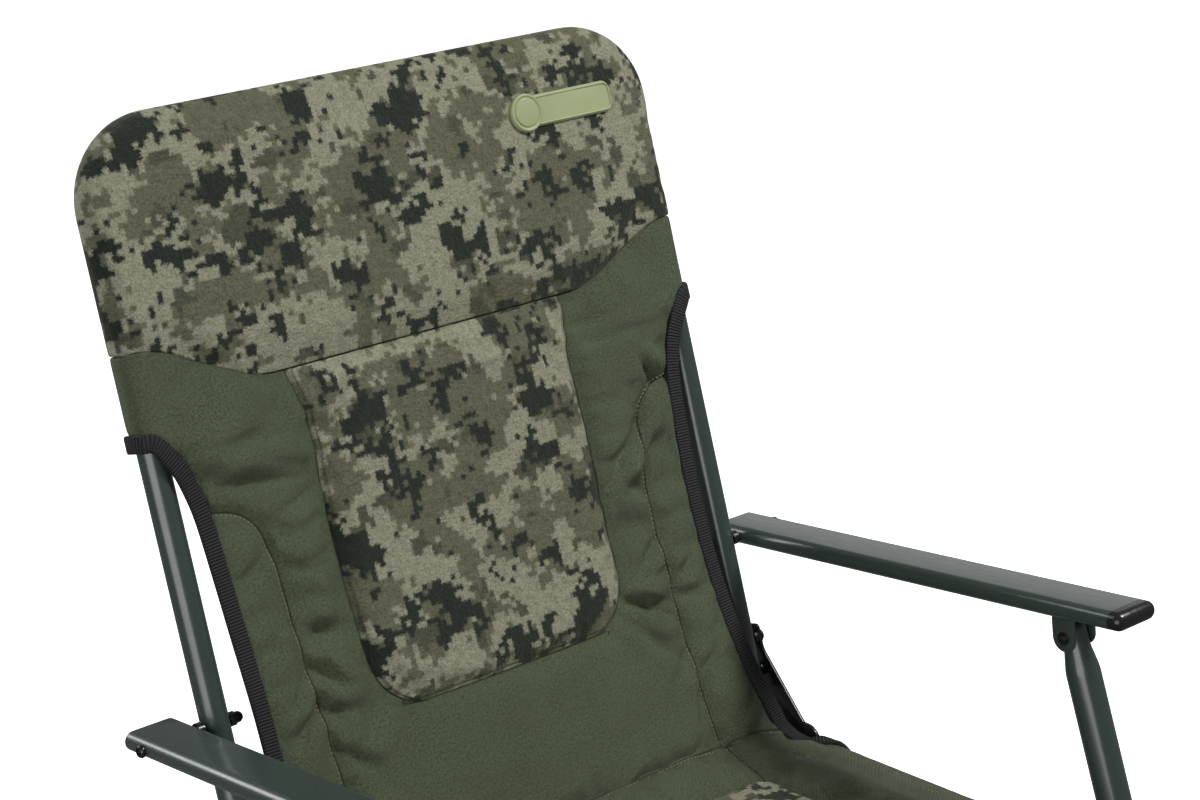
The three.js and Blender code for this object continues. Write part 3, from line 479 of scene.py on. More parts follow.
@dataclass(frozen=True)
class Coating:
    """Paint, coated steel or moulded plastic: a colour with fine grain and faint handling marks."""

    slot: str
    color: tuple
    roughness: float
    grain_scale: float
    grain: float
    marks: float = 0.1
    metallic: float = 0.0
    coat: float = 0.0

    def build(self) -> bpy.types.Material:
        """Makes the finish.

        Returns:
            The material.
        """
        sheet = Sheet(self.slot)
        place = sheet.add("TexCoord").outputs["Object"]
        grain = sheet.noise(place, self.grain_scale, 2.0, 0.6)
        broad = sheet.noise(place, 9.0, 3.0, 0.6)
        scuffs = sheet.noise(sheet.vector_math("MULTIPLY", place, (260, 60, 40)), 1.0, 4.0)
        color = sheet.mix(1.0, opaque(self.color), sheet.spread(broad, 0.93, 1.07), "MULTIPLY")
        rough = sheet.math("ADD", sheet.spread(scuffs, -self.marks / 2, self.marks / 2),
                           self.roughness)
        return sheet.wear({"Base Color": color, "Roughness": rough, "Metallic": self.metallic,
                           "Coat Weight": self.coat, "Coat Roughness": 0.2,
                           "Normal": sheet.bump(grain, self.grain)})


class Finish(Enum):
    """The finishes of the chair."""

    FLEECE = CamoFleece()
    CLOTH = Polyester()
    TAPE = Grosgrain()
    THREAD = Thread()
    PAINT = Coating("frame_paint", (0.028, 0.046, 0.041), 0.38, 1500.0, 0.03 * MM, coat=0.8)
    STEEL = Coating("black_steel", (0.014, 0.014, 0.016), 0.3, 900.0, 0.03 * MM, metallic=0.35)
    PLASTIC = Coating("black_plastic", (0.012, 0.012, 0.013), 0.25, 1800.0, 0.025 * MM)
    RUBBER = Coating("badge_rubber", (0.300, 0.345, 0.175), 0.5, 1400.0, 0.05 * MM)

    @property
    def slot(self) -> str:
        """The record's material slot."""
        return self.value.slot


LOOKS: dict[Finish, bpy.types.Material] = {finish: finish.value.build() for finish in Finish}


# Mesh tools

def outline_fillet(points: Sequence[Sequence[float]], radius: float, steps: int = 4,
                   closed: bool = False) -> list[Vector]:
    """Rounds the corners of a flat outline.

    Args:
        points: the corners.
        radius: how far from a corner its rounding starts.
        steps: straight pieces in each rounding.
        closed: whether the last corner joins the first.

    Returns:
        The rounded outline.
    """
    corners = [Vector(point) for point in points]
    result = []
    for i, corner in enumerate(corners):
        if not closed and i in (0, len(corners) - 1):
            result.append(corner)
            continue
        before = corners[i - 1] - corner
        after = corners[(i + 1) % len(corners)] - corner
        reach = min(radius, 0.48 * before.length, 0.48 * after.length)
        start = corner + before.normalized() * reach
        end = corner + after.normalized() * reach
        for step in range(steps + 1):
            share = step / steps
            result.append(start * (1 - share) ** 2 + corner * 2 * share * (1 - share)
                          + end * share ** 2)
    return result


def arc(middle: Sequence[float], radius: float, angles: range) -> list[tuple]:
    """The points of a round arc at angles in degrees.

    Args:
        middle: its middle.
        radius: its radius.
        angles: the angles.

    Returns:
        The points, one for each angle.
    """
    turns = [math.radians(angle) for angle in angles]
    return [(middle[0] + radius * math.cos(turn), middle[1] + radius * math.sin(turn))
            for turn in turns]


def ring(radius: float, sides: int) -> list[Vector]:
    """A round outline."""
    turns = [FULL_TURN * (i + 0.5) / sides for i in range(sides)]
    return [Vector((radius * math.cos(turn), radius * math.sin(turn))) for turn in turns]


def stadium(width: float, thickness: float, steps: int = 12) -> list[Vector]:
    """A slot outline with round ends, wide along its first axis.

    Args:
        width: its whole width.
        thickness: its thickness.
        steps: straight pieces in each round end.

    Returns:
        The outline.
    """
    radius = thickness / 2
    reach = width / 2 - radius
    points = []
    for side, start in ((1, -math.pi / 2), (-1, math.pi / 2)):
        for step in range(steps + 1):
            turn = start + math.pi * step / steps
            points.append(Vector((side * reach + radius * math.cos(turn),
                                  radius * math.sin(turn))))
    return points


def strip(half: float, rise: float) -> list[tuple]:
    """A flat strip's corners, from half its width and half its thickness."""
    return [(-half, -rise), (half, -rise), (half, rise), (-half, rise)]


def smooth_line(points: Sequence[Vector], per_span: int) -> list[Vector]:
    """A smooth curve through points, with per_span steps between each two.

    Args:
        points: the points.
        per_span: steps between two points.

    Returns:
        The curve.
    """
    line = []
    count = len(points)
    for i in range(count - 1):
        before, start = points[max(i - 1, 0)], points[i]
        end, after = points[i + 1], points[min(i + 2, count - 1)]
        for step in range(per_span):
            t = step / per_span
            line.append(0.5 * (2 * start + (end - before) * t
                               + (2 * before - 5 * start + 4 * end - after) * t ** 2
                               + (3 * start - before - 3 * end + after) * t ** 3))
    line.append(points[-1].copy())
    return line


def bent_line(corners: Sequence[Vector], radius: float, steps: int = 10) -> list[Vector]:
    """A line of straight runs with a true arc at each inner corner.

    Args:
        corners: the corners.
        radius: the arcs' radius.
        steps: straight pieces in each arc.

    Returns:
        The line.
    """
    line = [corners[0]]
    for before, corner, after in zip(corners, corners[1:], corners[2:]):
        back, ahead = (before - corner).normalized(), (after - corner).normalized()
        half = back.angle(ahead) / 2
        centre = corner + (back + ahead).normalized() * radius / math.sin(half)
        first = (corner + back * radius / math.tan(half) - centre).normalized()
        last = (corner + ahead * radius / math.tan(half) - centre).normalized()
        line += [centre + first.slerp(last, step / steps) * radius for step in range(steps + 1)]
    return line + [corners[-1]]


def stations_along(line: Sequence[Vector], ups: Sequence[Vector],
                   widths: Sequence[float] | None = None) -> list[Matrix]:
    """Places for a section carried along a line.

    Args:
        line: the line's points.
        ups: the direction that the section's second axis leans to, at each point.
        widths: how much of the section's width is left at each point.

    Returns:
        One matrix for each point, from the section's own axes to the row frame.
    """
    stations = []
    for i, point in enumerate(line):
        ahead = line[min(i + 1, len(line) - 1)] - line[max(i - 1, 0)]
        tangent = ahead.normalized()
        side = ups[i].cross(tangent).normalized()
        size = widths[i] if widths else 1.0
        stations.append(from_axes(side * size, tangent.cross(side), tangent, point))
    return stations


def axis_matrix(origin: Vector, axis: Vector, across: Vector | None = None) -> Matrix:
    """A place whose Z runs along axis.

    Args:
        origin: where it lies.
        axis: where its Z runs.
        across: where its X leans to.

    Returns:
        The place.
    """
    up = axis.normalized()
    side = across or (ACROSS if abs(up.x) < 0.9 else Vector((0, 1, 0)))
    side = (side - up * side.dot(up)).normalized()
    return from_axes(side, up.cross(side), up, origin)


def as_object(name: str, bm: bmesh.types.BMesh) -> bpy.types.Object:
    """Turns a mesh in the making into an object of the scene.

    Args:
        name: the object's name.
        bm: its mesh, which is freed.

    Returns:
        The object.
    """
    mesh = bpy.data.meshes.new(name)
    bm.to_mesh(mesh)
    bm.free()
    obj = bpy.data.objects.new(name, mesh)
    bpy.context.scene.collection.objects.link(obj)
    return obj


class Piece:
    """A mesh in the making, which becomes one finished object."""

    def __init__(self) -> None:
        """Starts empty."""
        self.bm = bmesh.new()

    def _new_verts(self, before: set) -> list:
        """The corners made since that set was taken."""
        return [vert for vert in self.bm.verts if vert not in before]

    def _outward(self, before: set) -> list:
        """Turns the newest faces outwards.

        Args:
            before: the corners that were there earlier.

        Returns:
            The faces.
        """
        faces = list({face for vert in self._new_verts(before) for face in vert.link_faces})
        bmesh.ops.recalc_face_normals(self.bm, faces=faces)
        return faces

    def turned(self, profile: Sequence[Sequence[float]], base: Matrix, segments: int = 40,
               rounding: float = 0.0) -> "Piece":
        """Spins a profile of (radius, height) round the Z of a place.

        Args:
            profile: the profile, from the axis and back to it, or closed on itself.
            base: where the turned shape stands.
            segments: steps of the full turn.
            rounding: how far from each corner its rounding starts.

        Returns:
            This piece.
        """
        before = set(self.bm.verts)
        points = outline_fillet(profile, rounding) if rounding else profile
        verts = [self.bm.verts.new((radius, 0, height)) for radius, height in points]
        edges = [self.bm.edges.new(pair) for pair in zip(verts, verts[1:])]
        bmesh.ops.spin(self.bm, geom=verts + edges, cent=(0, 0, 0), axis=(0, 0, 1),
                       dvec=(0, 0, 0), angle=FULL_TURN, steps=segments, use_merge=True)
        bmesh.ops.remove_doubles(self.bm, verts=self._new_verts(before), dist=MM / 1000)
        self._outward(before)
        bmesh.ops.transform(self.bm, matrix=base, verts=self._new_verts(before))
        return self

    def swept(self, section: Sequence[Vector], stations: Sequence[Matrix],
              bore: float = 0.0, wall: float = 0.0) -> "Piece":
        """Carries a closed outline along stations.

        Args:
            section: the outline.
            stations: where it stands, one after the other.
            bore: how deep each end is open, for a tube.
            wall: the tube's wall at its ends.

        Returns:
            This piece.
        """
        bm = self.bm
        before = set(bm.verts)
        layer = bm.verts.layers.float.get("along") or bm.verts.layers.float.new("along")
        verts = [bm.verts.new(stations[0] @ Vector((*point, 0))) for point in section]
        faces = [bm.faces.new(verts)]
        edges = list(faces[0].edges)
        walked = 0.0
        for here, there in zip(stations, stations[1:]):
            walked += (there.translation - here.translation).length
            made = bmesh.ops.extrude_edge_only(bm, edges=edges)["geom"]
            verts = [item for item in made if isinstance(item, bmesh.types.BMVert)]
            fresh = set(verts)
            edges = [item for item in made if isinstance(item, bmesh.types.BMEdge)
                     and all(vert in fresh for vert in item.verts)]
            bmesh.ops.transform(bm, matrix=there @ here.inverted(), verts=verts)
            for vert in verts:
                vert[layer] = walked
        faces += bmesh.ops.edgeloop_fill(bm, edges=edges)["faces"]
        self._outward(before)
        if bore:
            for face in faces:
                bmesh.ops.inset_individual(bm, faces=[face], thickness=wall)
                inward = face.normal * -bore
                inner = bmesh.ops.extrude_discrete_faces(bm, faces=[face])["faces"]
                bmesh.ops.translate(bm, vec=inward, verts=inner[0].verts)
        return self

    def nosed(self, outline: Sequence[Sequence[float]], straight: float, base: Matrix,
              radius: float, steps: int = 10) -> "Piece":
        """A flat outline drawn out along the Z of a place, with a round front.

        Args:
            outline: the outline.
            straight: how far its flank runs before it rounds.
            base: where it stands.
            radius: the front edge's radius.
            steps: straight pieces in the rounding.

        Returns:
            This piece.
        """
        bm = self.bm
        before = set(bm.verts)
        face = bm.faces.new([bm.verts.new((point[0], point[1], 0)) for point in outline])
        lifted = bmesh.ops.extrude_face_region(bm, geom=[face])["geom"]
        top = next(item for item in lifted if isinstance(item, bmesh.types.BMFace))
        bmesh.ops.translate(bm, vec=(0, 0, straight), verts=top.verts)
        for step in range(steps):
            turn, after = (math.pi / 2 * share / steps for share in (step, step + 1))
            bmesh.ops.inset_region(bm, faces=[top], thickness=radius * (math.cos(turn)
                                   - math.cos(after)), use_even_offset=True)
            bmesh.ops.translate(bm, vec=(0, 0, radius * (math.sin(after) - math.sin(turn))),
                                verts=top.verts)
        self._outward(before)
        bmesh.ops.transform(bm, matrix=base, verts=self._new_verts(before))
        return self

    def plate(self, outline: Sequence[Sequence[float]], thickness: float, base: Matrix,
              edge: float) -> "Piece":
        """A flat outline given a thickness along the Z of a place, with eased edges.

        Args:
            outline: the outline.
            thickness: its thickness.
            base: where it stands.
            edge: how far its edges are eased.

        Returns:
            This piece.
        """
        bm = self.bm
        before = set(bm.verts)
        verts = [bm.verts.new((point[0], point[1], 0)) for point in outline]
        face = bm.faces.new(verts)
        made = bmesh.ops.extrude_face_region(bm, geom=[face])["geom"]
        lifted = [item for item in made if isinstance(item, bmesh.types.BMVert)]
        bmesh.ops.translate(bm, vec=(0, 0, thickness), verts=lifted)
        faces = self._outward(before)
        rims = {item for face in faces if len(face.verts) > 4 for item in face.edges}
        bmesh.ops.bevel(bm, geom=list(rims), offset=edge, segments=2, profile=0.5,
                        affect="EDGES", material=-1)
        bmesh.ops.transform(bm, matrix=base, verts=self._new_verts(before))
        return self

    def finished(self, name: str, finish: Finish, body: str | None, sharp: float = 38.0,
                 replaces: Sequence[str] = ()) -> bpy.types.Object:
        """Turns the mesh into an object.

        Args:
            name: the object's name.
            finish: what it is made of.
            body: the body that it rides on, or None.
            sharp: edges past this many degrees stay crisp.
            replaces: the plain nodes that it stands for.

        Returns:
            The object.
        """
        obj = as_object(name, self.bm)
        obj.data.materials.append(LOOKS[finish])
        obj.data.shade_smooth()
        obj.data.set_sharp_from_angle(angle=math.radians(sharp))
        if body:
            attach(obj, body)
        finish.slot
        if replaces:
            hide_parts(*replaces)
        log.info("made %s with %d faces", name, len(obj.data.polygons))
        return obj


# Soft shapes, in a plane's own measures: x across, along it and out of it

@dataclass(frozen=True)
class Seam:
    """A sewn line that draws a padded surface in."""

    points: tuple
    depth: float = 3.5 * MM
    width: float = 5.0 * MM
    pucker: float = 0.9 * MM
    sewn: bool = True

    def line(self, per_span: int = 6) -> list[Vector]:
        """The seam's smooth line."""
        return smooth_line([Vector((x, along, 0)) for x, along in self.points], per_span)


@dataclass(frozen=True)
class Crease:
    """A soft fold: a valley from one point to another, with a low swell on each side."""

    start: tuple
    end: tuple
    depth: float
    width: float


def folds(marks: Sequence[tuple]) -> list[Crease]:
    """Creases from rows of start, end, depth and width in millimetres."""
    return [Crease(row[:2], row[2:4], *row[4:]) for row in metres(marks)]


def distances(places: np.ndarray, line: np.ndarray) -> tuple:
    """How far each flat place lies from a line.

    Args:
        places: one (x, along) a row.
        line: the line's points, one a row.

    Returns:
        The distances, how far along the line the nearest point lies as a share, and on which
        side of the line the place lies.
    """
    best = np.full(len(places), 1e9)
    share, side = np.zeros(len(places)), np.ones(len(places))
    spans = len(line) - 1
    for i in range(spans):
        step = line[i + 1] - line[i]
        t = np.clip(((places - line[i]) @ step) / max(step @ step, 1e-12), 0, 1)
        away = places - line[i] - t[:, None] * step
        gap = np.linalg.norm(away, axis=1)
        closer = gap < best
        best = np.where(closer, gap, best)
        share = np.where(closer, (i + t) / spans, share)
        side = np.where(closer, np.sign(step[0] * away[:, 1] - step[1] * away[:, 0]), side)
    return best, share, side


def mark_seams(mesh: bpy.types.Mesh, signed: np.ndarray, plain: np.ndarray) -> None:
    """Stores how far each corner lies from the nearest seam, with its side and without.

    Args:
        mesh: the mesh.
        signed: distances with their side, one a corner.
        plain: the same without their side.
    """
    layer = mesh.attributes.new("seam", "FLOAT_VECTOR", "POINT")
    values = np.zeros((len(mesh.vertices), 3))
    values[:, 0], values[:, 1] = signed, plain
    layer.data.foreach_set("vector", values.ravel())


CLOTH_SETTINGS = {"quality": 6, "mass": 0.25, "tension_stiffness": 18, "compression_stiffness": 12,
                  "shear_stiffness": 6, "bending_stiffness": 0.6, "use_pressure": True,
                  "vertex_group_mass": "held"}
# Cloth swells where it faces out at least this much and no seam holds it more than this.
FREE_FACING, HELD_PULL = 0.5, 0.45
# A seam's depth is shared by a narrow valley and a dip that is this many times as wide.
VALLEY, DIP_WIDTH = 0.55, 2.2
# Scale and height of the filling's lumps.
LUMPS = ((22, 1.0), (55, 0.5))
# How far in from a patch's edge it is sewn down.
HEM = 3 * MM


@dataclass
class Padding:
    """A padded cover: a closed box of cells that a rule places, then sewn, creased and smoothed."""

    name: str
    cuts: tuple
    rule: Callable[[float, float, float], Vector]
    seams: Sequence[Seam] = ()
    creases: Sequence[Crease] = ()
    pressure: float = 4.0
    cap: float = 5.0 * MM
    stretch: float = 0.03
    unevenness: float = 0.7 * MM
    ripple: float = 15 * MM
    frames: int = 20

    def build(self) -> bpy.types.Object:
        """Makes the padded mesh in the plane's measures, without placing it.

        Returns:
            The object.
        """
        bm = bmesh.new()
        bmesh.ops.create_cube(bm, size=2)
        for axis, count in enumerate(self.cuts):
            edges = [edge for edge in bm.edges
                     if abs((edge.verts[0].co - edge.verts[1].co).normalized()[axis]) > 0.9]
            bmesh.ops.subdivide_edges(bm, edges=edges, cuts=count - 1, use_grid_fill=True)
        cloth = bm.verts.layers.float_vector.new("cloth")
        for vert in bm.verts:
            u, v, w = vert.co
            front, edge = self.rule(u, v, 1), self.rule(u, v, 0)
            unrolled = front + (edge - front) * (math.pi / 2 * (1 - w))
            vert[cloth] = (unrolled.x, unrolled.y, 0)
            vert.co = self.rule(u, v, w)
        bmesh.ops.remove_doubles(bm, verts=bm.verts, dist=MM / 100)
        bmesh.ops.recalc_face_normals(bm, faces=bm.faces)
        obj = as_object(self.name, bm)
        self.inflate(obj)
        refine(obj, 1)
        self.sew(obj.data)
        return obj

    def pull(self, places: np.ndarray) -> np.ndarray:
        """How firmly each flat place is held by a seam, from 0 to 1.

        Args:
            places: one (x, along) a row.

        Returns:
            The shares, one a row.
        """
        held = np.zeros(len(places))
        for seam in self.seams:
            gap, _, _ = distances(places, flat(seam.line()))
            held = np.maximum(held, np.exp(-(gap / seam.width) ** 2))
        return held

    def inflate(self, obj: bpy.types.Object) -> None:
        """Lets the front swell and pucker as cloth between its seams, within the cap.

        Args:
            obj: the cover, in the plane's measures.
        """
        before = coordinates(obj.data)
        normals = np.array([vert.normal for vert in obj.data.vertices])
        held = self.pull(before[:, :2])
        group = obj.vertex_groups.new(name="held")
        for index, (facing, pull) in enumerate(zip(normals[:, 2], held)):
            group.add([index], float(facing < FREE_FACING or pull > HELD_PULL), "REPLACE")
        cloth = obj.modifiers.new("cloth", "CLOTH")
        for key, value in CLOTH_SETTINGS.items():
            setattr(cloth.settings, key, value)
        cloth.settings.uniform_pressure_force = self.pressure
        cloth.settings.shrink_min = -self.stretch
        cloth.settings.effector_weights.gravity = 0
        cloth.collision_settings.use_collision = False
        for number in range(1, self.frames + 1):
            bpy.context.scene.frame_set(number)
        shown = obj.evaluated_get(bpy.context.evaluated_depsgraph_get())
        moved = coordinates(shown.data) - before
        length = np.linalg.norm(moved, axis=1)
        moved *= (np.minimum(length, self.cap) / np.maximum(length, 1e-9))[:, None]
        obj.modifiers.remove(cloth)
        obj.vertex_groups.clear()
        bpy.context.scene.frame_set(1)
        obj.data.vertices.foreach_set("co", (before + moved).ravel())
        obj.data.update()

    def sew(self, mesh: bpy.types.Mesh) -> None:
        """Presses the seams and creases into the front, and makes the filling a little uneven.

        Args:
            mesh: the cover's mesh, in the plane's measures.
        """
        places = coordinates(mesh)
        normals = np.array([vert.normal for vert in mesh.vertices])
        facing = np.clip((normals[:, 2] - 0.1) / 0.5, 0, 1)
        out = np.zeros(len(places))
        nearest = np.full(len(places), 0.5)
        signed = nearest.copy()
        for number, seam in enumerate(self.seams):
            line = flat(seam.line())
            gap, share, side = distances(places[:, :2], line)
            out -= seam.depth * (VALLEY * np.exp(-(gap / seam.width) ** 2)
                                 + (1 - VALLEY) * np.exp(-gap / (DIP_WIDTH * seam.width)))
            closer = (gap < nearest) & seam.sewn & (seam.depth > 0)
            nearest = np.where(closer, gap, nearest)
            signed = np.where(closer, gap * side, signed)
            run = share * np.linalg.norm(np.diff(line, axis=0), axis=1).sum() / self.ripple
            wander = 1.3 * np.sin(0.37 * run + number) + 0.9 * np.sin(0.83 * run)
            waves = np.sin(FULL_TURN * run + 2.2 * wander) * (0.6 + 0.4 * np.sin(0.61 * run))
            near = np.exp(-gap / self.ripple) * (1 - np.exp(-(gap / seam.width) ** 2))
            out += seam.pucker * waves * near
        for crease in self.creases:
            gap, share, side = distances(places[:, :2], np.array([crease.start, crease.end]))
            taper = np.sin(np.pi * np.clip(share, 0.02, 0.98)) ** 0.6
            swell = np.exp(-((gap - 2.0 * crease.width) / (1.2 * crease.width)) ** 2)
            swell *= 0.55 + 0.3 * side
            valley = 0.55 * np.exp(-(gap / crease.width) ** 2)
            valley += 0.6 * np.exp(-gap / (0.45 * crease.width))
            out += 1.15 * crease.depth * taper * (swell - valley)
        calm = 1 - self.pull(places[:, :2])
        lumps = np.array([sum(height * noise.noise(Vector(place) * scale)
                              for scale, height in LUMPS) for place in places])
        mark_seams(mesh, signed, nearest)
        places[:, 2] += facing * (out + self.unevenness * lumps * calm)
        mesh.vertices.foreach_set("co", places.ravel())
        mesh.update()


def coordinates(mesh: bpy.types.Mesh) -> np.ndarray:
    """A mesh's corners, one a row.

    Args:
        mesh: the mesh.

    Returns:
        The corners.
    """
    values = np.empty(len(mesh.vertices) * 3)
    mesh.vertices.foreach_get("co", values)
    return values.reshape(-1, 3)


def flat(line: Sequence[Vector]) -> np.ndarray:
    """A line's points as (x, along)."""
    return np.array([point[:2] for point in line])


def refine(obj: bpy.types.Object, levels: int) -> None:
    """Applies a subdivision to an object's mesh.

    Args:
        obj: the object.
        levels: how many times each face is divided.
    """
    modifier = obj.modifiers.new("refine", "SUBSURF")
    modifier.levels = modifier.render_levels = levels
    shown = obj.evaluated_get(bpy.context.evaluated_depsgraph_get())
    mesh = bpy.data.meshes.new_from_object(shown)
    obj.modifiers.clear()
    obj.data = mesh


def sewn_edge(rule: Callable[[float, float], tuple], count: int) -> list[Vector]:
    """A patch's edge: down its right side and up its left one.

    Args:
        rule: the patch's rule.
        count: steps on each side.

    Returns:
        The edge's points in the plane's measures.
    """
    rows = [rule(1, 1 - 2 * i / count) for i in range(count + 1)]
    return ([Vector((x, along, 0)) for x, along, _ in rows]
            + [Vector((-x, along, 0)) for x, along, _ in reversed(rows)])


def panel_seam(edge: Sequence[Vector]) -> Seam:
    """The seam that sews a centre panel down."""
    return Seam(tuple((point.x, point.y) for point in edge[::2]), 2.6 * MM, 6 * MM, 0.7 * MM)


class Surface:
    """The front of a padded cover, to lay things on, in its plane's measures."""

    def __init__(self, obj: bpy.types.Object, plane: Plane) -> None:
        """Reads the object's mesh, which is still in the plane's measures.

        Args:
            obj: the cover.
            plane: the plane that its mesh is in.
        """
        mesh = obj.data
        faces = [tuple(polygon.vertices) for polygon in mesh.polygons]
        self.tree = BVHTree.FromPolygons([vert.co for vert in mesh.vertices], faces)
        self.plane = plane

    def height(self, x: float, along: float) -> float:
        """How far out the front lies there."""
        hit = self.tree.ray_cast(Vector((x, along, 0.3)), Vector((0, 0, -1)))[0]
        return hit.z if hit else 0.0

    def lift(self, x: float, along: float, above: float = 0.0) -> Vector:
        """The front's point there, that much above it."""
        return Vector((x, along, self.height(x, along) + above))


def settle(obj: bpy.types.Object, plane: Plane, finish: Finish) -> bpy.types.Object:
    """Places a mesh made in a plane's measures in the row frame and gives it its finish.

    Args:
        obj: the object.
        plane: the plane that its mesh is in.
        finish: what it is made of.

    Returns:
        The same object.
    """
    obj.data.transform(plane.matrix())
    obj.data.materials.clear()
    obj.data.materials.append(LOOKS[finish])
    obj.data.shade_smooth()
    finish.slot
    log.info("made %s with %d faces", obj.name, len(obj.data.polygons))
    return obj


def stitches(name: str, surface: Surface, lines: Sequence[Sequence[Vector]],
             pitch: float = 3.9 * MM, length: float = 2.9 * MM, radius: float = 0.5 * MM,
             beside: float = 1.5 * MM) -> bpy.types.Object:
    """Rows of stitches that lie on a cover.

    Args:
        name: the object's name.
        surface: the cover's front.
        lines: flat lines, in the plane's measures.
        pitch: from one stitch to the next.
        length: a stitch's length.
        radius: the thread's radius.
        beside: how far from the line the row lies.

    Returns:
        The object, placed in the row frame.
    """
    bm = bmesh.new()
    for line in lines:
        runs = [(end - start).normalized() for start, end in zip(line, line[1:])]
        runs.append(runs[-1])
        shifted = [point + beside * Vector((run.y, -run.x, 0)) for point, run in zip(line, runs)]
        lifted = [surface.lift(point.x, point.y, 0.7 * radius) for point in shifted]
        carried = pitch / 2
        for start, end in zip(lifted, lifted[1:]):
            span = (end - start).length
            while carried < span:
                centre = start.lerp(end, carried / span)
                base = axis_matrix(centre, end - start, Vector((0, 0, 1)))
                shape = Matrix.Diagonal((radius, radius, length / 2, 1))
                bmesh.ops.create_icosphere(bm, subdivisions=1, radius=1, matrix=base @ shape)
                carried += pitch
            carried -= span
    return settle(as_object(name, bm), surface.plane, Finish.THREAD)


def patch(name: str, surface: Surface, cells: tuple, rule: Callable[[float, float], tuple],
          loft: float, rim: float, finish: Finish) -> bpy.types.Object:
    """A flat piece sewn on a cover's front.

    Args:
        name: the object's name.
        surface: the cover's front.
        cells: cells across and along.
        rule: from (-1..1, -1..1) to (x, along, distance to the patch's edge).
        loft: how far the patch stands up in its middle.
        rim: how far in from its edge it has risen.
        finish: what it is made of.

    Returns:
        The object, placed in the row frame.
    """
    bm = bmesh.new()
    bmesh.ops.create_grid(bm, x_segments=cells[0], y_segments=cells[1], size=1)
    cloth = bm.verts.layers.float_vector.new("cloth")
    seam = bm.verts.layers.float_vector.new("seam")
    for vert in bm.verts:
        x, along, inside = rule(vert.co.x, vert.co.y)
        vert[seam] = (inside - HEM, abs(inside - HEM), 0)
        share = min(1.0, inside / rim)
        rise = loft * math.sqrt(max(0.0, 1 - (1 - share) ** 2)) - 0.4 * MM * (share <= 0)
        vert.co = surface.lift(x, along, rise)
        vert[cloth] = (x, along, 0)
    bmesh.ops.recalc_face_normals(bm, faces=bm.faces)
    if bm.faces[0].normal.z < 0:
        bmesh.ops.reverse_faces(bm, faces=bm.faces)
    bmesh.ops.solidify(bm, geom=bm.faces[:] + bm.edges[:] + bm.verts[:], thickness=1.2 * MM)
    bmesh.ops.recalc_face_normals(bm, faces=bm.faces)
    return settle(as_object(name, bm), surface.plane, finish)


def rounded_rows(v: float, bottom: float, top: float, radii: tuple, shares: tuple) -> tuple:
    """Rows of an outline with round corners.

    Args:
        v: the row, from -1 at the bottom to 1 at the top.
        bottom: the outline's lower end.
        top: its upper end.
        radii: the corner radius at the bottom and at the top.
        shares: how much of the rows each pair of corners takes.

    Returns:
        Where the row lies, and how far in the outline's side lies there.
    """
    low, high = -1 + 2 * shares[0], 1 - 2 * shares[1]
    if v < low:
        bend = (low - v) / (low + 1) * math.pi / 2
        return (bottom + radii[0] * (1 - math.sin(bend)), radii[0] * (1 - math.cos(bend)))
    if v > high:
        bend = (v - high) / (1 - high) * math.pi / 2
        return (top - radii[1] * (1 - math.sin(bend)), radii[1] * (1 - math.cos(bend)))
    share = (v - low) / (high - low)
    return mixed(bottom + radii[0], top - radii[1], share), 0.0


@dataclass
class Tape:
    """Ribbed tape folded over a cover's edge."""

    width: float = 14 * MM
    thickness: float = 4.6 * MM
    per_span: int = 10

    def lay(self, name: str, places: Sequence[tuple[Vector, Vector]]) -> bpy.types.Object:
        """Sews the tape along places, each a point and the direction that its face looks in.

        Args:
            name: the object's name.
            places: the points and directions.

        Returns:
            The object.
        """
        line = smooth_line([place for place, _ in places], self.per_span)
        ups = smooth_line([up for _, up in places], self.per_span)
        section = outline_fillet(strip(self.width / 2, self.thickness / 2), self.thickness / 2,
                                 3, closed=True)
        piece = Piece().swept(section, stations_along(line, [up.normalized() for up in ups]))
        return piece.finished(name, Finish.TAPE, None, sharp=60)


# Back cover

TUBE = 11 * MM
SLEEVE = 14.7 * MM
HALF_FRAME = 253.6 * MM
HALF_COVER = HALF_FRAME + SLEEVE
EDGE_OUT = 11 * MM
FOLD_START = BACK.at(0, -100 * MM)
FOLD_END = SEAT.at(0, -25 * MM)
LEAN = metres(((-158, 31), (-147, 28), (-129, 24.8), (-108, 21), (-88, 17.5), (-59, 13),
               (-24, 8.6), (11, 5), (40, 2.4), (70, 0.6), (100, 0)))


def lean(along: float) -> float:
    """How far the back cover leaves its tubes' plane towards the seat."""
    return from_table(LEAN, along)


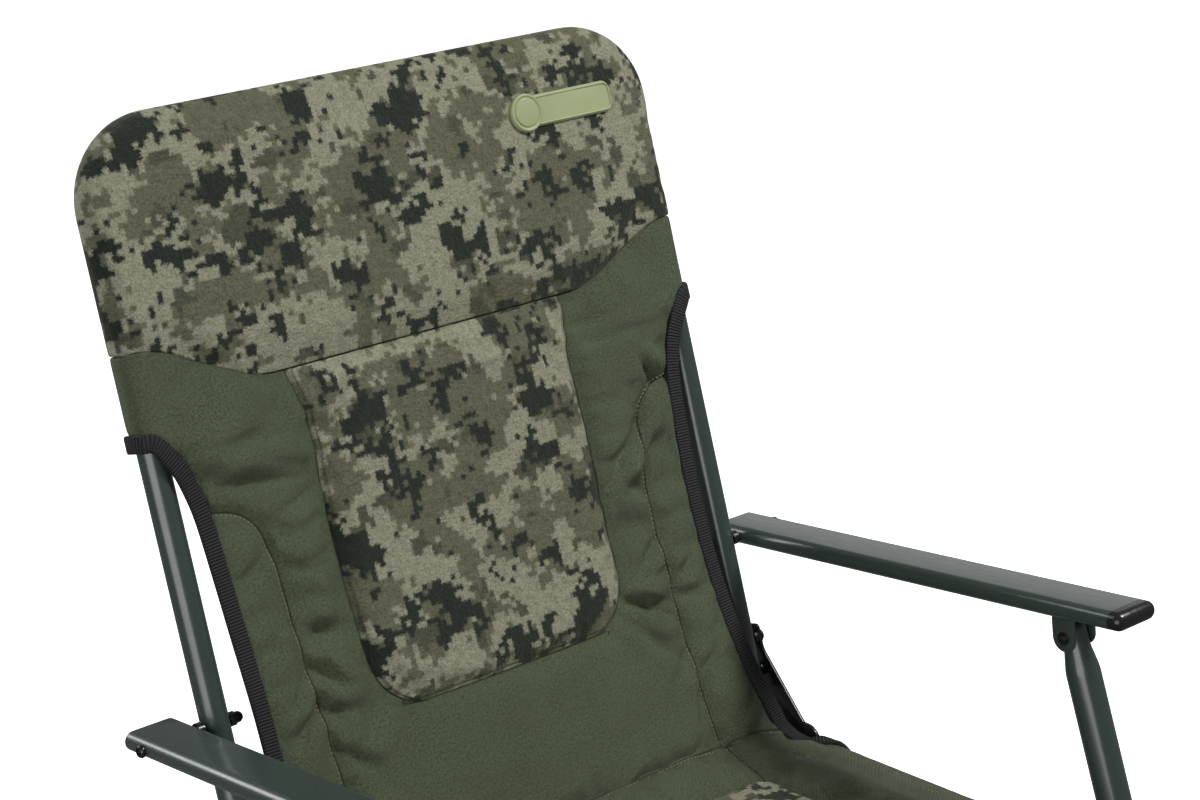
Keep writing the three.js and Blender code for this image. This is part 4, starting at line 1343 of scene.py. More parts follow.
@dataclass
class BackCover:
    """Head section, back pad, centre panel, bindings and badge."""

    top: float = 451.2 * MM
    corner: float = 69.7 * MM
    seam_middle: float = 241 * MM
    seam_edge: float = 281 * MM
    seam_bend: float = 148 * MM
    foot: float = -158 * MM
    sleeve_end: float = 212 * MM
    pinch: float = 3.6 * MM
    pinch_ends: tuple = (205 * MM, 232 * MM)
    panel_half: float = 128 * MM
    panel_foot: float = -33 * MM
    hold_in_mm: float = 6
    side_seam: tuple = ((228, 153), (212, 150), (199, 144), (188, 131), (181, 104), (178, 60),
                        (176.5, 10), (175, -40), (174, -80), (174.5, -120), (175, -158))
    waist: tuple = ((-158, 247.5), (-147, 246), (-129, 242), (-108, 238), (-88, 234.5),
                    (-59, 231), (-24, 229), (11, 228.5), (64, 230), (110, 232.5), (152, 236),
                    (178, 242), (193, 248.5), (204, 256))

    def seam(self, x: float) -> float:
        """How high the head seam lies at a place across the chair."""
        return mixed(self.seam_middle, self.seam_edge, smooth(abs(x), self.seam_bend, HALF_COVER))

    def half_width(self, along: float) -> float:
        """From the chair's middle to the back pad's edge."""
        return from_table((*metres(self.waist), (self.sleeve_end, HALF_COVER)), along)

    def head_rule(self, u: float, v: float, w: float) -> Vector:
        """Where a cell corner of the head section lies.

        Args:
            u: across, from -1 to 1.
            v: along, from -1 to 1.
            w: from -1 at the back to 1 in front.

        Returns:
            The place.
        """
        turn = w * math.pi / 2
        inset = SLEEVE * (1 - math.cos(turn))
        radius = self.corner - inset
        rise = (v + 1) / 2
        bend = max(0.0, (rise - 0.5) / 0.5) * math.pi / 2
        reach = HALF_COVER - inset - radius * (1 - math.cos(bend))
        share = packed(u, 0.18)
        x = share * reach
        low = self.seam(share * HALF_COVER)
        shoulder = self.top - inset - radius
        along = mixed(low, shoulder, min(rise / 0.5, 1)) + radius * math.sin(bend)
        open_share = (1 - share * share) * math.sin(math.pi * min(1, 0.12 + rise * 0.95))
        loft = 5 * MM if w > 0 else 1.5 * MM
        pinch = self.pinch * (1 - smooth(along - low, 0, 12 * MM)) * (w > 0)
        pinch *= 1 - smooth(abs(x), *self.pinch_ends)
        half = SLEEVE + loft * open_share - pinch
        return Vector((x, along, half * math.sin(turn)))

    def pad_rule(self, u: float, v: float, w: float) -> Vector:
        """Where a cell corner of the back pad lies.

        Args:
            u: across, from -1 to 1.
            v: along, from -1 to 1.
            w: from -1 at the back to 1 in front.

        Returns:
            The place.
        """
        turn = w * math.pi / 2
        rise = (v + 1) / 2
        share = packed(u, 0.22)
        level = mixed(self.foot, self.seam_middle, rise)
        sleeved = smooth(level, self.sleeve_end - 12 * MM, self.sleeve_end)
        edge = mixed(1.6 * MM, SLEEVE, sleeved)
        width = self.half_width(level)
        x = share * (width - edge * (1 - math.cos(turn)))
        lift = self.seam(share * HALF_COVER) - self.seam_middle - 0.6 * MM
        along = level + lift * smooth(rise, 0.9, 1)
        inward = max(0.0, width * (1 - abs(share)) - 7 * MM)
        slope = math.sin(math.pi / 2 * min(1.0, inward / (45 * MM)))
        low = 1 - smooth(level, -150 * MM, -70 * MM)
        front = mixed(EDGE_OUT + edge + (2.5 + 3 * low) * MM * slope - 2.5 * MM * low, SLEEVE,
                      sleeved)
        behind = mixed(EDGE_OUT - edge - 15 * MM * slope, -SLEEVE, sleeved)
        pinch = self.pinch * smooth(rise, 0.955, 1) * (1 - smooth(abs(x), *self.pinch_ends))
        front += lean(level) * (1 - sleeved) - pinch
        behind += lean(level) * (1 - sleeved)
        if v <= -1:
            along -= 3 * MM * math.cos(turn)
        return Vector((x, along, mixed(behind, front, (math.sin(turn) + 1) / 2)))

    def creases(self) -> list[Crease]:
        """The folds of the green cloth, each from point to point.

        Returns:
            The folds.
        """
        marks = [
            (-226, 172, -134, 158, 7.0, 9), (-210, 186, -160, 206, 2.0, 9),
            (-136, 168, -186, 184, 2.4, 8), (-134, 150, -178, 138, 3.2, 7),
            (-178, 96, -144, 88, 2.6, 6), (-176, 52, -138, 34, 3.4, 7),
            (-176, 26, -150, -6, 3.8, 6), (-177, -6, -208, -38, 4.2, 6),
            (-178, 18, -204, -10, 2.6, 5), (-176, -12, -138, -26, 2.6, 6),
            (-175, -40, -142, -72, 3.4, 7), (-122, -20, -156, -50, 3.6, 7),
            (-174, -96, -142, -122, 3.0, 8), (-176, 120, -214, 96, 1.8, 8),
            (-176, -70, -216, -104, 2.6, 8), (-178, 60, -210, 40, 1.8, 7),
            (192, 178, 212, 144, 4.0, 6), (188, 128, 132, 74, 5.6, 7),
            (184, 112, 150, 96, 2.4, 6), (180, 62, 144, 80, 2.8, 6),
            (178, 28, 138, 2, 4.2, 6), (178, -2, 142, 0, 3.2, 5),
            (121, -12, 168, -40, 5.2, 6), (118, -28, 158, -74, 3.2, 7),
            (176, -30, 146, -22, 2.6, 5), (175, -66, 146, -92, 3.4, 7),
            (177, -18, 204, 6, 3.4, 5), (177, -24, 206, -34, 2.2, 5),
            (175, -94, 210, -66, 2.6, 7), (180, 92, 214, 110, 2.0, 7),
            (-70, -76, 70, -88, 1.6, 18), (-130, -112, 20, -134, 1.8, 16),
            (40, -120, 150, -104, 1.6, 14),
        ]
        return folds(marks)

    def panel_rule(self, u: float, v: float) -> tuple:
        """The centre panel's outline: nearly straight sides, large round corners below.

        Args:
            u: across, from -1 to 1.
            v: along, from -1 to 1.

        Returns:
            The place across and along, and how far in it lies.
        """
        share = packed(u, 0.15)
        along, inset = rounded_rows(v, self.panel_foot, self.seam_middle - 0.9 * MM,
                                    (46 * MM, 3 * MM), (0.2, 0.02))
        flare = 9 * MM * smooth(along, 170 * MM, 245 * MM) ** 2
        sag = 3 * MM * math.sin(math.pi * smooth(along, 0, 230 * MM))
        reach = self.panel_half + flare - inset + sag - 3 * MM
        inside = min(reach * (1 - abs(share)), along - self.panel_foot)
        return share * reach, along, max(0.0, inside)

    def binding_places(self, side: int) -> list[tuple[Vector, Vector]]:
        """The tape's way: round the sleeve's end, down the waist and over the seat's sleeve.

        Args:
            side: 1 on the chair's left and -1 on its right.

        Returns:
            The points, each with the way that the tape faces.
        """
        out, across = BACK.out, Vector((side, 0, 0))
        sleeve = [((254, 1, -15), -out), ((264.5, 3, -10.4), across - out), ((269, 4, 0), across),
                  ((264.8, 3, 10.6), across + out), ((256, 0, 14.8), out)]
        places = [(BACK.at(side * x * MM, self.sleeve_end + along * MM, high * MM), up)
                  for (x, along, high), up in sleeve]
        for place, width in reversed(self.waist[:-1]):
            lie = EDGE_OUT + lean(place * MM) + 3 * MM * smooth(place, 165, 195) + 0.4 * MM
            places.append((BACK.at(side * (width - 5) * MM, place * MM, lie), out))
        out = SEAT.out
        seat = [((244.5, -14, 14.5), out), ((245.5, -27, 12.8), out - across * 0.4),
                ((254, -36, 15.6), out), ((264, -43, 11.5), out + across), ((269, -48, 0), across),
                ((265, -50, -11), across - out), ((255, -48, -15), -out)]
        return places + [(SEAT.at(*metres([place], side)[0]), up) for place, up in seat]

    def build(self) -> None:
        """Makes the back's soft pieces."""
        side_seams = [Seam(metres(self.side_seam, side), 5 * MM, 5.5 * MM, 1.3 * MM)
                      for side in SIDES.values()]
        edge = [(width - self.hold_in_mm, place) for place, width in self.waist]
        holds = [Seam(metres(edge, side), 1.4 * MM, 8 * MM, 0.2 * MM, sewn=False)
                 for side in SIDES.values()]
        holds += [Seam(((side * HALF_FRAME, 200 * MM), (side * HALF_FRAME, 290 * MM)), 0, 17 * MM, 0)
                  for side in SIDES.values()]
        seams = [*side_seams, panel_seam(sewn_edge(self.panel_rule, 40)), *holds]
        head = Padding("head_section", (104, 48, 8), self.head_rule,
                       pressure=3.0, cap=3 * MM, stretch=0.012, unevenness=0.9 * MM).build()
        pad = Padding("back_cover", (108, 84, 6), self.pad_rule, seams, self.creases(),
                      pressure=9.0, stretch=0.05, cap=6 * MM, unevenness=1.1 * MM).build()
        head_front, pad_front = Surface(head, BACK), Surface(pad, BACK)
        panel = patch("back_panel", pad_front, (90, 104), self.panel_rule, 3.2 * MM, 9 * MM,
                      Finish.FLEECE)
        rows = stitches("back_stitching", pad_front, [seam.line() for seam in side_seams])
        settle(head, BACK, Finish.FLEECE)
        settle(pad, BACK, Finish.CLOTH)
        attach(head, "back")
        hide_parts("head_cover")
        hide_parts("back_pad")
        for piece in (pad, panel, rows):
            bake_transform(piece)
        for hand, side in SIDES.items():
            tape = Tape().lay(f"binding_{hand}", self.binding_places(side))
            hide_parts(f"back_binding_{hand}")
            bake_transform(tape)
        Badge(head_front).build()


@dataclass
class Badge:
    """A blank badge of soft rubber: a rounded plate with a raised rim and a plain round boss."""

    surface: Surface
    middle: tuple = (171 * MM, 389 * MM)
    half: tuple = (50 * MM, 13 * MM)
    rim: float = 2.2 * MM
    rim_corner: float = 6 * MM
    rim_height: float = 2.5 * MM
    rim_radius: float = 0.9 * MM
    boss_inward: float = 41 * MM
    boss_radius: float = 15.5 * MM
    boss_face: tuple = ((0, -1), (0, 2.4), (1.5, 3.4), (2.9, 2.6), (3.5, 2.2), (4.3, 3.3))

    def outline(self, u: float, v: float) -> tuple:
        """The plate's outline, for a patch.

        Args:
            u: across, from -1 to 1.
            v: along, from -1 to 1.

        Returns:
            The place across and along, and how far in it lies.
        """
        x, level = self.middle
        along, inset = rounded_rows(v, level - self.half[1], level + self.half[1],
                                    (7 * MM, 7 * MM), (0.27, 0.27))
        reach = self.half[0] - inset
        inside = min(reach * (1 - abs(u)), self.half[1] - abs(along - level))
        return x + u * reach, along, inside

    def build(self) -> None:
        """Makes the plate, its rim and its boss."""
        plate = patch("blank_badge_plate", self.surface, (60, 18), self.outline, 2.4 * MM,
                      1.2 * MM, Finish.RUBBER)
        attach(plate, "back")
        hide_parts("blank_badge")
        x, level = self.middle
        reach, height = (half - self.rim for half in self.half)
        corners = outline_fillet([(reach, height), (-reach, height), (-reach, -height),
                                  (reach, -height)], self.rim_corner, 8, True)
        corners.append(corners[0])
        turn = BACK.matrix()
        line = [turn @ self.surface.lift(x + point.x, level + point.y, self.rim_height)
                for point in corners]
        piece = Piece().swept(ring(self.rim_radius, 10),
                              stations_along(line, [BACK.out] * len(line)))
        place = turn @ self.surface.lift(x - self.boss_inward, level, 0.6 * MM)
        radius = self.boss_radius
        face = [(radius - inward * MM, height * MM) for inward, height in self.boss_face]
        piece.turned([(0, -MM), *face, (0, 3.5 * MM)], axis_matrix(place, BACK.out), 56, 0.5 * MM)
        piece.finished("badge_rim", Finish.RUBBER, "back")


# Seat cover

@dataclass
class SeatCover:
    """Seat pad with its sleeve over the tubes, its centre panel and its stitching."""

    rear: float = 25 * MM
    front: float = -(353.7 + 75 + 14.7) * MM
    corner: float = 69.7 * MM
    rear_half: float = 238 * MM
    crown: tuple = ((-150, 19.2), (-90, 21), (-60, 22), (-30, 24), (-15, 26.5), (-2, 31),
                    (25, 31))
    sleeve_top: float = 20 * MM
    sleeve_low: float = 42 * MM
    panel_half: float = 166 * MM
    panel_rear: float = -58 * MM
    panel_front: float = -412 * MM
    side_seam: tuple = ((174.5, 0), (172, -26), (169, -48), (165, -60))
    tube_seam: tuple = ((233, -40), (234, -180), (234, -352))

    def rule(self, u: float, v: float, w: float) -> Vector:
        """Where a cell corner of the seat pad lies.

        Args:
            u: across, from -1 to 1.
            v: along, from -1 in front to 1 at the rear.
            w: from -1 underneath to 1 on top.

        Returns:
            The place.
        """
        turn = w * math.pi / 2
        ahead = (1 - v) / 2
        share = packed(u, 0.22)
        bend = max(0.0, (ahead - 0.8) / 0.2) * math.pi / 2
        level = mixed(self.rear, self.front + self.corner, min(ahead / 0.8, 1) ** 1.25)
        facing = max(0.0, math.sin(turn))
        start = mixed(self.sleeve_low, self.sleeve_top, facing)
        sleeved = smooth(-level, start, start + 8 * MM)
        edge = mixed(8 * MM, SLEEVE, sleeved)
        inset = edge * (1 - math.cos(turn))
        radius = self.corner - inset
        width = mixed(self.rear_half + 8 * MM * facing, HALF_COVER, sleeved) - inset
        x = share * (width - radius * (1 - math.cos(bend)))
        along = level - radius * math.sin(bend)
        half = edge
        if w > 0:
            half = mixed(24 * MM, 15.5 * MM, smooth(-level, -4 * MM, 12 * MM))
            half = mixed(half, SLEEVE, sleeved)
            crown = from_table(metres(self.crown), level)
            rise = (crown - half) * smooth(along, self.front, self.front + 80 * MM)
            half += rise * (1 - abs(share) ** mixed(12, 3, smooth(-level, 5 * MM, 55 * MM)))
        if v >= 1:
            along += 5 * MM * math.cos(turn)
        return Vector((x, along, half * math.sin(turn)))

    def panel_rule(self, u: float, v: float) -> tuple:
        """The centre panel's outline.

        Args:
            u: across, from -1 to 1.
            v: along, from -1 to 1.

        Returns:
            The place across and along, and how far in it lies.
        """
        share = packed(u, 0.15)
        along, inset = rounded_rows(v, self.panel_front, self.panel_rear,
                                    (40 * MM, 14 * MM), (0.14, 0.06))
        reach = self.panel_half - inset
        ends = min(along - self.panel_front, self.panel_rear - along)
        return share * reach, along, max(0.0, min(reach * (1 - abs(share)), ends))

    def creases(self) -> list[Crease]:
        """The folds of the seat's green border.

        Returns:
            The folds.
        """
        marks = [
            (200, -24, 238, -58, 3.0, 7), (-200, -24, -238, -58, 3.0, 7),
            (176, -120, 214, -132, 2.0, 7), (-176, -105, -216, -122, 2.0, 7),
            (178, -210, 222, -204, 1.8, 8), (-178, -230, -220, -214, 1.8, 8),
            (176, -300, 216, -316, 2.0, 7), (-176, -318, -218, -330, 2.0, 7),
        ]
        return folds(marks)

    def build(self) -> None:
        """Makes the seat's soft pieces."""
        edge = sewn_edge(self.panel_rule, 60)
        edge.append(edge[0].copy())
        corner_seams = [Seam(metres(self.side_seam, side), 4 * MM, 5 * MM)
                        for side in SIDES.values()]
        crease = Seam(metres(((-236, -1), (0, -1), (236, -1))), 2 * MM, 4 * MM)
        holds = [Seam(((side * HALF_FRAME, -22 * MM), (side * HALF_FRAME, -400 * MM)), 0,
                      16 * MM, 0.2 * MM) for side in SIDES.values()]
        tube_seams = [Seam(metres(self.tube_seam, side), 3 * MM, 8 * MM, sewn=False)
                      for side in SIDES.values()]
        seams = [*corner_seams, *tube_seams, panel_seam(edge), crease, *holds]
        pad = Padding("seat_cover", (104, 90, 8), self.rule, seams, self.creases(),
                      pressure=4.0, cap=6 * MM).build()
        front = Surface(pad, SEAT)
        panel = patch("seat_panel", front, (90, 104), self.panel_rule, 3.0 * MM, 9 * MM,
                      Finish.FLEECE)
        rows_made = stitches("seat_stitching", front,
                             [*(seam.line() for seam in corner_seams),
                              [point - Vector((0, 2.5 * MM, 0)) for point in crease.line()]])
        settle(pad, SEAT, Finish.CLOTH)
        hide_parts("seat_pad")
        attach(panel, "seat")
        for piece in (pad, rows_made):
            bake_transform(piece)


# Fittings

TUBE_INNER = HALF_FRAME - TUBE
TUBE_OUTER = HALF_FRAME + TUBE
FIT = 0.3 * MM
PIN = 3 * MM
ARM_MIDDLE = 293.35 * MM
REAR_MIDDLE = 228.8 * MM


def across_at(plane: Plane, along: float, out: float, side: int, middle: float = 0.0) -> Matrix:
    """A place of the side view whose Z runs outwards across the chair."""
    return axis_matrix(plane.at(side * middle, along, out), ACROSS * side)


def plate_start(inner: float, thickness: float, side: float) -> float:
    """Where a plate of the side view starts, for its inner face to lie at inner on that side."""
    return side * inner - (side < 0) * thickness


def frame_tube(plane: Plane, start: float, end: float, bend: float,
               wall: float = 1.5 * MM) -> Piece:
    """A round tube bent into a loop, from start along a plane to end and back, open at its ends.

    Args:
        plane: the plane of the loop.
        start: where its two ends lie.
        end: where its far side lies.
        bend: its bends' radius.
        wall: the tube's wall.

    Returns:
        The piece.
    """
    corners = [plane.at(x, along) for x, along in ((-HALF_FRAME, start), (-HALF_FRAME, end),
                                                   (HALF_FRAME, end), (HALF_FRAME, start))]
    line = bent_line(corners, bend, 14)
    stations = stations_along(line, [plane.out] * len(line))
    return Piece().swept(ring(TUBE, 36), stations, 9 * MM, wall)


@dataclass(frozen=True)
class Fastener:
    """Heights across the chair of a bolt's parts, from the chair's middle or its piece's middle."""

    name: str
    base: Matrix
    inner: float
    outer: float
    shoulder: tuple = ()
    head: float = 6 * MM
    rise: float = 3.5 * MM

    def build(self, body: str) -> None:
        """Makes the bolt: a domed inner head, a pin, any shoulder and a head with a socket.

        Args:
            body: the body that it rides on.
        """
        radius, rise = self.head, self.rise
        rows = [(0, self.inner - rise), (0.75 * radius, self.inner - 0.8 * rise),
                (radius, self.inner - 0.2 * rise), (radius, self.inner), (PIN, self.inner)]
        if self.shoulder:
            low, high = self.shoulder
            rows += [(PIN, low), (radius, low), (radius, high), (PIN, high)]
        rows += [(PIN, self.outer), (radius, self.outer), (radius, self.outer + 0.3 * rise),
                 (0.72 * radius, self.outer + 0.95 * rise),
                 (0.42 * radius, self.outer + rise), (0.38 * radius, self.outer + 0.4 * rise),
                 (0, self.outer + 0.36 * rise)]
        piece = Piece().turned(rows, self.base, 36, 0.35 * MM)
        piece.finished(self.name + "_smooth", Finish.STEEL, body, replaces=[self.name])


@dataclass
class BackFrame:
    """The arch of the back with its hinge plates and their bolts."""

    top: float = 436.5 * MM
    foot: float = -135 * MM
    bend: float = 55 * MM
    plate_inner: float = 269.1 * MM
    plate_thickness: float = 3 * MM
    bolt_levels: tuple = (-88 * MM, -116 * MM)
    eye: tuple = (-178.5 * MM, 38.6 * MM)
    eye_radius: float = 15 * MM
    margin: float = 11 * MM
    neck: float = 15 * MM

    def plate_outline(self) -> list[tuple]:
        """The hinge plate's outline: a straight bar that swings forward to a round eye.

        Returns:
            The corners.
        """
        upper, lower = self.bolt_levels
        return [(lower - self.neck, -self.margin), (upper + self.margin, -self.margin),
                (upper + self.margin, self.margin / 2), (upper - self.margin, self.margin / 2),
                *arc(self.eye, self.eye_radius, range(0, 226, 15))]

    def build(self) -> None:
        """Makes the tube, the plates and the bolts."""
        tube = frame_tube(BACK, self.foot, self.top, self.bend)
        tube.finished("back_arch", Finish.PAINT, "back", replaces=["back_frame_tube"])
        outline = outline_fillet(self.plate_outline(), 4 * MM, 3, closed=True)
        for hand, side in SIDES.items():
            place = plate_start(self.plate_inner, self.plate_thickness, side)
            piece = Piece().plate(outline, self.plate_thickness, BACK.side_on(place), 0.5 * MM)
            piece.finished(f"hinge_bar_{hand}", Finish.STEEL, "back",
                           replaces=[f"hinge_plate_{hand}"])
            outer = self.plate_inner + self.plate_thickness + FIT
            shoulder = (TUBE_OUTER + FIT, self.plate_inner - FIT)
            for level, along in zip(("upper", "lower"), self.bolt_levels):
                base = across_at(BACK, along, 0, side)
                Fastener(f"plate_bolt_{level}_{hand}", base, TUBE_INNER - FIT, outer,
                         shoulder).build("back")
            base = across_at(SEAT, 0, 0, side)
            Fastener(f"hinge_bolt_{hand}", base, TUBE_INNER - FIT, outer,
                     shoulder).build("seat")


@dataclass
class SeatFrame:
    """The seat's U with the lugs and bolts that carry the legs."""

    rear: float = 62 * MM
    span: float = 353.72 * MM
    front_reach: float = 75 * MM
    bend: float = 55 * MM
    lug_place: tuple = (43 * MM, -27 * MM)
    lug_radius: float = 13 * MM
    lug_thickness: float = 3 * MM
    leg_bolt_outer: float = 281.25 * MM
    leg_shoulder: float = 275.65 * MM
    rear_bolt_reach: float = 13.8 * MM

    def build(self) -> None:
        """Makes the tube with its lugs, and the leg bolts."""
        tube = frame_tube(SEAT, self.rear, -self.span - self.front_reach, self.bend)
        along, radius = self.lug_place[0], self.lug_radius
        outline = [(along - radius, -TUBE / 2), *arc(self.lug_place, radius, range(180, 361, 15)),
                   (along + radius, -TUBE / 2)]
        for side in SIDES.values():
            place = plate_start(TUBE_INNER, self.lug_thickness, side)
            tube.plate(outline, self.lug_thickness, SEAT.side_on(place), 0.4 * MM)
        tube.finished("seat_loop", Finish.PAINT, "seat", replaces=["seat_frame_tube"])
        lug_outer = TUBE_INNER + self.lug_thickness + FIT
        for hand, side in SIDES.items():
            base = across_at(SEAT, -self.span, 0, side)
            Fastener(f"front_leg_bolt_{hand}", base, TUBE_INNER - FIT, self.leg_bolt_outer,
                     (TUBE_OUTER + FIT, self.leg_shoulder)).build("seat")
            base = across_at(SEAT, *self.lug_place, side)
            Fastener(f"rear_leg_bolt_{hand}", base, REAR_MIDDLE - self.rear_bolt_reach,
                     lug_outer).build("seat")


@dataclass
class Armrest:
    """A flat armrest with its cap, leg bracket and pivot fittings."""

    hand: str
    width: float = 45.3 * MM
    thickness: float = 15 * MM
    rear: float = 24.7 * MM
    front: float = -404.8 * MM
    open_depth: float = 7 * MM
    wall: float = 1.8 * MM
    cap_nose: float = 12 * MM
    nose_flat: float = 0.6 * MM
    plug_start: float = 6.5 * MM
    plug_length: float = 7 * MM
    bore: float = 4.2 * MM
    nut_height: float = 6 * MM
    pin_place: tuple = (-352.8 * MM, -25.5 * MM)
    bracket_half: float = 11 * MM
    bracket_outer: float = 12.5 * MM
    sheet: float = 2 * MM

    @property
    def side(self) -> int:
        """1 on the chair's left and -1 on its right."""
        return SIDES[self.hand]

    def place(self, along: float, out: float = 0.0) -> Vector:
        """A point in the armrest's middle, in the row frame."""
        return ARMREST.at(self.side * ARM_MIDDLE, along, out)

    def finish(self, piece: Piece, name: str, finish: Finish, node: str,
               sharp: float = 38.0) -> None:
        """Finishes a piece of this armrest that stands for one plain node."""
        piece.finished(f"{name}_{self.hand}", finish, f"armrest_{self.hand}", sharp,
                       [f"{node}_{self.hand}"])

    def bar(self) -> None:
        """Makes the flat tube, open at its rear."""
        section = stadium(self.width, self.thickness)
        ends = [self.place(along) for along in (self.rear, self.front)]
        piece = Piece().swept(section, stations_along(ends, [ARMREST.out] * 2),
                              self.open_depth, self.wall)
        self.finish(piece, "armrest_bar", Finish.PAINT, "armrest_profile")

    def cap(self) -> None:
        """Makes the bull-nosed end cap, with a fine seam to the profile and a plug inside."""
        radius = self.thickness / 2 - self.nose_flat
        base = axis_matrix(self.place(self.front - FIT), -ARMREST.along, ACROSS)
        outline = stadium(self.width, self.thickness)
        piece = Piece().nosed(outline, self.cap_nose - radius, base, radius)
        plug = stadium(self.width - self.bore, self.thickness - self.bore)
        back = axis_matrix(self.place(self.front + self.plug_start), -ARMREST.along, ACROSS)
        piece.plate(plug, self.plug_length, back, 0.3 * MM)
        self.finish(piece, "armrest_end", Finish.PLASTIC, "armrest_cap", 50)

    def bracket(self) -> None:
        """Makes the bent sheet bracket with its round ears."""
        along, pin_out = self.pin_place
        half = self.bracket_half
        reach, top = self.bracket_outer - self.sheet / 2, -self.thickness / 2 - FIT
        low, high = pin_out - half, top - self.sheet / 2
        steps = [half * (1 - math.cos(math.radians(degrees))) for degrees in range(4, 91, 8)]
        line = bent_line([Vector((-reach, low + steps[-1], 0)), Vector((-reach, high, 0)),
                          Vector((reach, high, 0)), Vector((reach, low + steps[-1], 0))],
                         3 * MM, 6)
        ear = [Vector((-reach, low + step, 0)) for step in steps]
        other = [Vector((reach, low + step, 0)) for step in reversed(steps)]
        shares = [math.sin(math.acos(1 - step / half)) for step in steps]
        path = ear + line[1:-1] + other
        widths = shares + [1.0] * (len(line) - 2) + shares[::-1]
        placed = [self.place(along, point.y) + ACROSS * point.x for point in path]
        ups = []
        for i in range(len(placed)):
            ahead = placed[min(i + 1, len(placed) - 1)] - placed[max(i - 1, 0)]
            ups.append(ahead.normalized().cross(ARMREST.along))
        section = outline_fillet(strip(half, self.sheet / 2), 0.5 * MM, 2, True)
        piece = Piece().swept(section, stations_along(placed, ups, widths))
        self.finish(piece, "armrest_bracket_sheet", Finish.PAINT, "armrest_bracket")

    def rivet(self) -> None:
        """Makes the rivet through the bracket: a dome in a flat ring on each side."""
        face = self.bracket_outer + FIT
        dome = [(5.25, 0), (5.25, 0.7), (4.2, 0.9), (4.0, 1.3), (3.3, 2.4), (1.8, 2.8), (0, 2.9)]
        heads = profile(dome, face)
        rows = [(radius, -height) for radius, height in reversed(heads)]
        rows += [(PIN, -face), (PIN, face), *heads]
        base = axis_matrix(self.place(*self.pin_place), ACROSS)
        piece = Piece().turned(rows, base, 36, 0.2 * MM)
        self.finish(piece, "armrest_rivet_domed", Finish.STEEL, "armrest_rivet")

    def pivot(self) -> None:
        """Makes the pivot's countersunk bolt, dome nut and washer."""
        base = across_at(ARMREST, 0, 0, self.side, ARM_MIDDLE)
        outer = self.width / 2 + FIT
        inner = TUBE_INNER - ARM_MIDDLE
        head = [(5.1, 0), (5.1, 1.6), (4.0, 3.2), (2.6, 3.5), (2.3, 1.2), (0, 1)]
        tip = inner - self.nut_height
        bolt = [(0, tip), (PIN, tip), (PIN, outer), *profile(head, outer)]
        piece = Piece().turned(bolt, base, 36, 0.3 * MM)
        self.finish(piece, "armrest_bolt_round", Finish.STEEL, "armrest_bolt")
        face = inner - FIT
        flats = [(3.3, -6), (5.0, -6), (5.5, -5.5), (5.5, 0), (3.3, 0), (3.3, -6)]
        dome = [(0, -12), (2.6, -11.4), (4.2, -9.4), (4.5, -5.8), (0, -5.8)]
        nut = Piece().turned(profile(flats, face), base, 6)
        nut.turned(profile(dome, face), base, 36, 0.8 * MM)
        self.finish(nut, "armrest_nut_domed", Finish.STEEL, "armrest_nut", 30)
        start, end = TUBE_OUTER - ARM_MIDDLE + FIT, -self.width / 2 - FIT
        hole, rim = 3.4 * MM, 6 * MM
        washer = [(hole, start), (rim, start), (rim, end), (hole, end), (hole, start)]
        piece = Piece().turned(washer, base, 36)
        self.finish(piece, "armrest_spacer", Finish.PLASTIC, "armrest_washer")

    def build(self) -> None:
        """Makes all of the armrest's pieces."""
        self.bar()
        self.cap()
        self.bracket()
        self.rivet()
        self.pivot()


